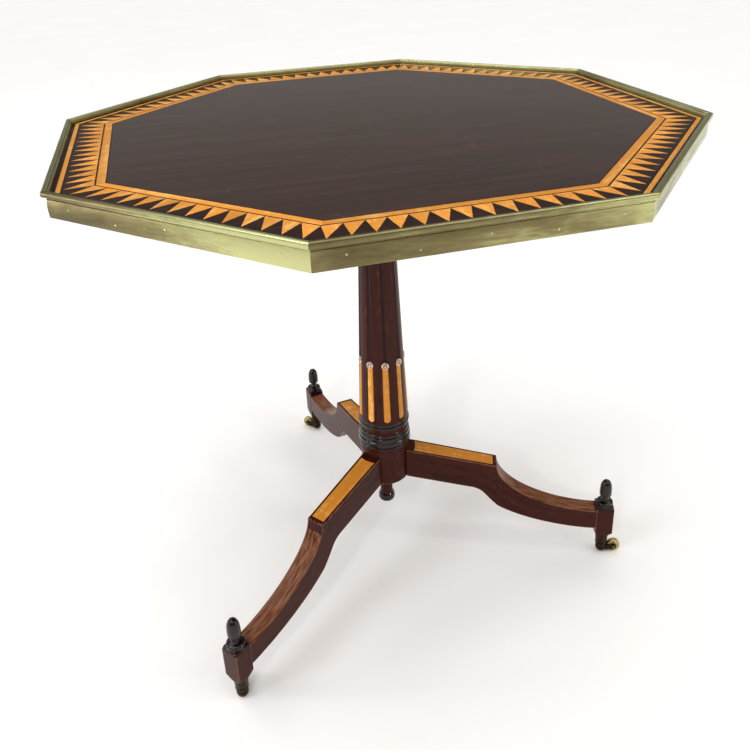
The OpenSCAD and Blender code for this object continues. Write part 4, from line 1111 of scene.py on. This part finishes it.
class TABLE_OT_base(bpy.types.Operator):
    """Torus, collar, drum, pendant and the iron brace."""
    bl_idname = "table.base"
    bl_label = "Base turnings"

    def execute(self, context):
        height = tall("base_torus")
        self.ring("turned_beads", "base_torus", "ebonised", "ebonised_wood", [
            (-2.3, 0, 0.2), (-1.5, 0.3, 0.3), (0, 1.0, 1.6), (0, 4.6, 1.6), (-1.7, 5.2, 0.2), (-1.2, 5.5, 1.2),
            (-1.2, 8.6, 1.2), (-1.8, 9.0, 0.2), (-1.8, height, 0.2)])
        height = tall("collar_hollow")
        self.ring("turned_hollow", "collar_hollow", "rosewood", "rosewood_upright", [
            (-0.3, 0, 0.2), (0, 0.7, 0.3), (-1.5, 3.4, 2.4), (-1.1, 6.6, 2.4), (0, height - 0.6, 0.4),
            (-0.3, height, 0.2)])
        height = tall("base_collar")
        self.ring("turned_collar", "base_collar", "ebonised", "ebonised_wood", [
            (-0.7, 0, 0.2), (0, 0.5, 0.4), (0, 2.0, 0.5), (-1.3, 2.9, 0.2), (-1.0, 3.5, 0.3), (0, 5.0, 2.6),
            (0, 10.4, 2.6), (-1.8, 12.2, 0.3), (-1.8, 12.9, 0.2), (-1.1, 13.6, 1.9), (-1.1, 18.8, 2.2),
            (-2.8, 20.0, 0.3), (-2.3, 20.9, 0.4), (-2.3, height - 1.2, 0.5), (-3.2, height, 0.2)])
        height = tall("column_drum")
        self.ring("turned_drum", "column_drum", "rosewood", "rosewood_upright", [
            (-1.6, 0, 3.2), (-1.6, height - 16.2, 0.2), (-2.2, height - 15.8, 0.2),
            (-2.2, height - 15.0, 0.2), (-0.4, height - 14.6, 0.5), (0, height - 12.6, 0.8),
            (-0.4, height - 11.2, 0.3), (-0.7, height, 0.2)])
        height = tall("pendant_stem")
        self.ring("turned_stem", "pendant_stem", "rosewood", "rosewood_upright", [
            (0, 0, 0.3), (-0.5, 2.0, 2.0), (-0.6, height - 8, 3.0), (0.2, height - 2, 1.5), (0.2, height, 0.2)])

        stem_r, ball_r = high("pendant_stem")[0] / MM, high("pendant_finial")[0] / MM
        bottom, top = low("pendant_finial")[2] / MM, low("pendant_stem")[2] / MM
        ball = [
            (0, bottom, 0), (ball_r - 5.5, bottom, 3.0), (ball_r, bottom + 2.5, 6.5),
            (ball_r, bottom + 0.72 * (top - bottom), 4.5), (stem_r, top, 0.3), (0, top, 0)]
        turn_up(
            "turned_pendant", ball, "pendant_finial", "pedestal", "ebonised", "ebonised_wood", steps=12, gap=1)
        dress("forged_iron", "leg_brace")
        dress("aged_steel", "brace_screws")
        return {"FINISHED"}

    def ring(self, name, node, slot, material, rows):
        """Turns rows of radius, height and easing, in millimetres from the node's widest radius and its foot,
        and closes them to the axis."""
        rows = np.array(rows) + (high(node)[0] / MM, low(node)[2] / MM, 0)
        rows = np.vstack([[(0, rows[0, 1], 0)], rows, [(0, rows[-1, 1], 0)]])
        turn_up(name, rows, node, "pedestal", slot, material, cols=128, steps=7, gap=1.2)


class TABLE_OT_legs(bpy.types.Operator):
    """Swept legs with their inlays."""
    bl_idname = "table.legs"
    bl_label = "Legs"

    def execute(self, context):
        size = sizes()
        drum_r = high("column_drum")[0] - 1.6 * MM
        toe_z = low("foot_finial_back")[2] - size.block_over
        slope = math.tan(math.radians(size.leg_slope))
        root_z = size.knee_height + (size.knee_reach - drum_r) * slope
        under_z = root_z - size.leg_depth - (size.under_knee - drum_r) * slope
        for foot, _, reach, way in foot_places():
            toe_r = reach - size.foot_width / 2 + 0.5 * MM
            start = drum_r - 2 * MM
            swing = np.linspace(0, np.pi / 2, 56)
            r = np.unique(np.concatenate([
                np.linspace(start, size.knee_reach, 26),
                toe_r - (toe_r - size.knee_reach) * np.cos(swing),
            ]))
            along = np.clip((r - size.knee_reach) / (toe_r - size.knee_reach), 0, 1)
            top = np.where(
                r <= size.knee_reach, size.knee_height + (size.knee_reach - r) * slope,
                size.knee_height - (size.knee_height - toe_z) * self.sweep(along, size.top_power))
            # the underside: straight, bent at the knee, then a straight fall that joins the sweep
            knee = np.array([size.under_knee, under_z])
            fall = np.array([toe_r - size.under_knee, toe_z - size.toe_depth - under_z])
            share = np.linspace(0.16, 1, 40)
            swept = knee + fall * np.stack([share, self.sweep(share, size.low_power)], -1)
            turn = knee + (swept[0] - knee) * (0.87, 0.93)
            after = knee + size.knee_round * (turn - knee) / np.linalg.norm(turn - knee)
            before = knee - size.knee_round * np.array([1, -slope]) / math.hypot(1, slope)
            straight = [[start, root_z - size.leg_depth - (start - drum_r) * slope]]
            bends = (self.bend(before, knee, after), self.bend(after, turn, swept[0]))
            under = np.vstack([straight, *bends, swept[1:]])
            bottom = np.interp(r, under[:, 0], under[:, 1])
            widths = [size.root_width, size.knee_width, size.toe_width]
            half = np.interp(r, [drum_r, size.knee_reach, toe_r], widths) / 2
            ease = size.edge_ease
            outline, wear = self.section()
            y = outline[None, :, 0] * half[:, None] - outline[None, :, 2] * ease
            middle, half_deep = (top + bottom) / 2, (top - bottom) / 2
            z = middle[:, None] + outline[None, :, 1] * half_deep[:, None] - outline[None, :, 3] * ease
            side = np.array([-way[1], way[0]])
            grid = np.dstack([r[:, None, None] * way + y[..., None] * side, z])
            length_along = np.concatenate([[0], np.cumsum(np.hypot(np.diff(r), np.diff(middle)))])
            shift = math.atan2(way[1], way[0])
            grain = np.stack([
                np.broadcast_to(length_along[:, None], y.shape), y + shift, z - middle[:, None]], -1)
            worn = np.repeat(wear[None], len(r), axis=0)
            # a thin line across the top at the knee is worn, and painted paler as a highlight where the top
            # bends
            knee_rows = np.abs(r - size.knee_reach) < 0.2 * MM
            worn[knee_rows] = np.where(outline[None, :, 1] > 0.99, 0.8, worn[knee_rows])
            # the sweep's top is bleached and rubbed between the knee and the toe, and painted paler as light
            # falling on it
            sweep_rows = (r > size.knee_reach + 4 * MM) & (r < toe_r - 3 * MM)
            worn[sweep_rows] = np.where(outline[None, :, 1] > 0.99, 0.88, worn[sweep_rows])
            leg = tubes("swept_leg_" + foot, [grid], {
                "grain": [grain], "wear": [worn], "tone": [np.full(y.shape, 0.5)]}, sharp=32)
            finish_piece(leg, "pedestal", "rosewood", "rosewood_along", "leg_" + foot)

            margin = size.inlay_margin
            near, far = drum_r + size.inlay_start, size.knee_reach - size.inlay_stop
            t = np.linspace(1, -1, 9)
            w_near, w_far = np.interp([near, far], [drum_r, size.knee_reach], widths[:2]) / 2 - margin
            inner = np.stack([np.sqrt(near ** 2 - (t * w_near) ** 2), t * w_near], -1)
            edge = np.vstack([[(far, -w_far), (far, w_far)], inner])
            flat_plan = edge[:, :1] * way + edge[:, 1:] * side
            level = size.knee_height + (size.knee_reach - edge[:, 0]) * slope
            ring = np.stack([np.column_stack([flat_plan, level + rise * MM]) for rise in (-1.0, 0.06)])
            grain = np.stack([
                np.repeat(edge[None, :, 0], 2, 0), np.repeat(edge[None, :, 1] + shift, 2, 0),
                np.zeros((2, len(edge)))], -1)
            inlay = tubes("satinwood_inlay_" + foot, [ring], {
                "grain": [grain], "tone": [np.full((2, len(edge)), 0.55)]})
            finish_piece(inlay, "pedestal", "satinwood", "satinwood_tiles", "inlay_" + foot)
        return {"FINISHED"}

    def sweep(self, share, power):
        """How far a sweep has fallen, from 0 to 1: (1 - (1 - u)^p)^(1 / p)."""
        return (1 - (1 - share) ** power) ** (1 / power)

    def bend(self, start, corner, stop):
        """Eight points of (1 - t)^2 A + 2 t (1 - t) C + t^2 B."""
        t = np.linspace(0, 1, 8)[:, None]
        return (1 - t) ** 2 * start + 2 * t * (1 - t) * corner + t ** 2 * stop

    def section(self):
        """A rectangle's outline as (across, up, ease across, ease up) and its wear: a point lies at the
        rectangle's own edge, moved in by its ease. Corners are quarter circles, worn and painted paler as a
        highlight along the edges; the points along each side keep the wear close to its corners."""
        t = np.linspace(0, np.pi / 2, 5)
        corner = np.stack([1 - np.cos(t), 1 - np.sin(t)], -1)
        run = np.array([-0.9, -0.6, -0.2, 0.2, 0.6, 0.9])
        extra = len(run)
        parts, wear = [], []
        for sign_y, sign_z, flip in ((-1, -1, 0), (1, -1, 1), (1, 1, 0), (-1, 1, 1)):
            bend = corner[::-1] if flip else corner
            parts.append(np.column_stack([
                np.full(5, sign_y), np.full(5, sign_z), sign_y * bend[:, 0], sign_z * bend[:, 1]]))
            # corners: worn, and painted paler as a highlight along the leg's edges
            wear.append(np.full(5, 0.88))
            along = run * (1 if (sign_y, sign_z) in ((-1, -1), (1, -1)) else -1)
            if sign_y * sign_z > 0:
                across, up = along, np.full(extra, sign_z)
            else:
                across, up = np.full(extra, sign_y), along
            parts.append(np.column_stack([across, up, np.zeros(extra), np.zeros(extra)]))
            wear.append(np.full(extra, 0.5))
        return np.vstack(parts), np.concatenate(wear)


class TABLE_OT_feet(bpy.types.Operator):
    """Square foot blocks with their finials."""
    bl_idname = "table.feet"
    bl_label = "Feet"

    def execute(self, context):
        size = sizes()
        for foot, place, _, way in foot_places():
            out, side = compass(math.atan2(way[1], way[0]))
            axes = (out, side, (0, 0, 1))
            origin = (place[0], place[1], 0)
            base, top = high("castor_cup_" + foot)[2], low("foot_finial_" + foot)[2]
            w = size.foot_width / 2
            outline = eased([(-w, -w), (w, -w), (w, w), (-w, w)], size.edge_ease, closed=True)
            outline = denser(np.vstack([outline, outline[:1]]), 3 * MM)[:-1]
            rows = np.concatenate([base + np.linspace(0, 9, 13) * MM, np.linspace(base + 14 * MM, top, 8)])
            # the lower end is turned to a cone: no point lies further out than 11.6 mm plus its height
            far_out = np.linalg.norm(outline, axis=1)
            shrink = np.minimum(1, (11.6 * MM + rows - base)[:, None] / far_out[None])[..., None]
            grid = np.asarray(origin) + (
                outline[None, :, :1] * shrink * out + outline[None, :, 1:] * shrink * side
                + rows[:, None, None] * np.array([0, 0, 1.0]))
            wear = np.repeat(outline_wear(outline)[None], len(rows), axis=0)
            shift = float(way[0])
            block = tubes("rosewood_foot_" + foot, [grid], {
                "wear": [wear], "tone": [np.full(wear.shape, 0.5)],
                "grain": [grain_along(grid, (0, 0, 1), side, shift)]}, sharp=32)
            finish_piece(block, "pedestal", "rosewood", "rosewood_along", "foot_block_" + foot)

            bottom = low("foot_finial_" + foot)[2]
            square = eased([(-w, -w), (w, -w), (w, w), (-w, w)], 4.5 * MM, closed=True)
            moulding = billet(square, bottom, bottom + 3 * MM, 1.3 * MM, origin, axes)
            height = tall("foot_finial_" + foot) - 3
            profile = np.vstack([
                smooth([
                    (0, -1, 0), (12.9, -1, 0), (12.9, 0.9, 0.4), (12.1, 1.6, 0.4), (12.8, 2.4, 0.5),
                    (12.9, 5.4, 1.6), (11.2, 7.4, 1.6), (6.2, 9.0, 1.6), (4.9, 11.0, 1.4), (4.7, 15.4, 0.5)]),
                smooth([
                    (5.6, 16.8, 0.6), (8.6, 18.2, 1.2), (9.3, 19.6, 0.8), (8.7, 20.6, 0.4), (9.4, 21.6, 0.8),
                    (9.5, 30.0, 6.0), (8.3, height - 7.5, 4.0), (5.2, height - 2.0, 1.6),
                    (2.4, height - 0.5, 0.6), (0, height, 0)]),
            ]) + (0, bottom + 3 * MM)
            profile = denser(profile, 0.8 * MM)
            cap = turned(profile, 64, origin)
            wear_cap = np.repeat(profile_wear(profile)[:, None], 64, axis=1)
            finial = tubes("acorn_finial_" + foot, [moulding, cap], {
                "wear": [end_wear(moulding, outline_wear(square)), wear_cap]})
            finish_piece(finial, "pedestal", "ebonised", "ebonised_wood", "foot_finial_" + foot)
        return {"FINISHED"}


class TABLE_OT_castors(bpy.types.Operator):
    """Brass cups, forks and wheels."""
    bl_idname = "table.castors"
    bl_label = "Castors"

    def execute(self, context):
        for foot, place, *_ in foot_places():
            origin = (place[0], place[1], 0)
            cup_low, cup_high = low("castor_cup_" + foot)[2] / MM, high("castor_cup_" + foot)[2] / MM
            cup = [
                (0, cup_low, 0), (7.6, cup_low, 0.4), (8.6, cup_low + 1, 0.6), (8.9, cup_low + 3, 0.2),
                (9.5, cup_low + 3.6, 0.4), (9.5, cup_low + 4.6, 0.4), (9.0, cup_low + 5.2, 0.3),
                (10.1, cup_high - 4.4, 0.8), (11.0, cup_high - 3.6, 0.5), (11.4, cup_high - 2.6, 0.6),
                (11.4, cup_high - 0.4, 0.3), (10.9, cup_high, 0.3), (0, cup_high, 0)]
            turn_up(
                "cast_cup_" + foot, cup, "castor_cup_" + foot, "pedestal", "castor_brass", "bronzed_brass",
                origin, cols=72)

            hub = mid("castor_wheel_" + foot)
            trail = hub[:2] - place
            reach_out = float(np.linalg.norm(trail))
            ahead, axle = compass(math.atan2(trail[1], trail[0]))
            radius = hub[2]
            r = radius / MM
            half = [
                (0, -3.6, 0), (3.2, -3.6, 0.3), (3.8, -4.5, 0.4), (r - 3.4, -4.5, 0.4), (r - 2.4, -4.0, 0.3),
                (r - 1.0, -4.1, 0.5), (r, -2.6, 1.0)]
            wheel = smooth(half + [(across, -up, ease) for across, up, ease in half[::-1]])
            on_axle = [(hub, (ahead, (0, 0, 1), -axle))]
            piece = turned_piece("cast_wheel_" + foot, on_axle, denser(wheel, 0.7 * MM), cols=80)
            finish_piece(piece, "wheel_" + foot, "wheel_brass", "rubbed_brass", "castor_wheel_" + foot)

            fork_top = cup_low - 0.4
            horn = denser(smooth([
                (0, 3.2, 0), (6.2, 3.2, 1.6), (8.4, 7.0, 3.0), (8.5, fork_top - 2.2, 1.4), (7.4, fork_top, 1.2),
                (0, fork_top, 0)]), 0.8 * MM)
            grids = [turned(horn, 56, origin)]
            wears = [np.repeat(profile_wear(horn)[:, None], 56, axis=1)]
            cheek_r, centre = 4.4 * MM, reach_out
            t = np.linspace(-np.pi / 2, np.pi / 2, 16)
            nose = np.stack([centre + cheek_r * np.cos(t), radius + cheek_r * np.sin(t)], -1)
            below, above = np.array([(0, 5.5), (8, 6)]) * MM, np.array([(8, 14), (0, fork_top)]) * MM
            outline = np.vstack([below, nose, above])
            for near, far in ((-7.1, -4.9), (4.9, 7.1)):
                grid = billet(outline, near * MM, far * MM, 0.5 * MM, origin, (ahead, (0, 0, 1), axle))
                grids.append(grid)
                wears.append(end_wear(grid, np.full(len(outline), 0.55)))
            fork = tubes("cast_fork_" + foot, grids, {"wear": wears})
            finish_piece(fork, "castor_" + foot, "castor_brass", "bronzed_brass", "castor_fork_" + foot)
            dress("lacquered_brass", "castor_axle_" + foot)
        return {"FINISHED"}


class TABLE_PT_panel(bpy.types.Panel):
    """The table's pieces, and its sizes and finishes."""
    bl_idname = "TABLE_PT_panel"
    bl_label = "Tilt top table"
    bl_space_type = "VIEW_3D"
    bl_region_type = "UI"
    bl_category = "Table"

    def draw(self, context):
        layout = self.layout
        for operator in OPERATORS:
            layout.operator(operator.bl_idname)
        for group in (context.scene.table_sizes, context.scene.table_finishes):
            box = layout.box()
            for name in group.__annotations__:
                box.prop(group, name)


OPERATORS = (
    TABLE_OT_stage, TABLE_OT_marquetry, TABLE_OT_brass_rim, TABLE_OT_bearers, TABLE_OT_block, TABLE_OT_column,
    TABLE_OT_base, TABLE_OT_legs, TABLE_OT_feet, TABLE_OT_castors,
)
CLASSES = (TableFinishes, TableSizes, *OPERATORS, TABLE_PT_panel)


def register():
    for cls in CLASSES:
        bpy.utils.register_class(cls)
    bpy.types.Scene.table_finishes = PointerProperty(type=TableFinishes)
    bpy.types.Scene.table_sizes = PointerProperty(type=TableSizes)


def unregister():
    del bpy.types.Scene.table_sizes
    del bpy.types.Scene.table_finishes
    for cls in reversed(CLASSES):
        bpy.utils.unregister_class(cls)


def main():
    register()
    for operator in OPERATORS:
        group, name = operator.bl_idname.split(".")
        getattr(getattr(bpy.ops, group), name)()


if __name__ == "__main__":
    main()
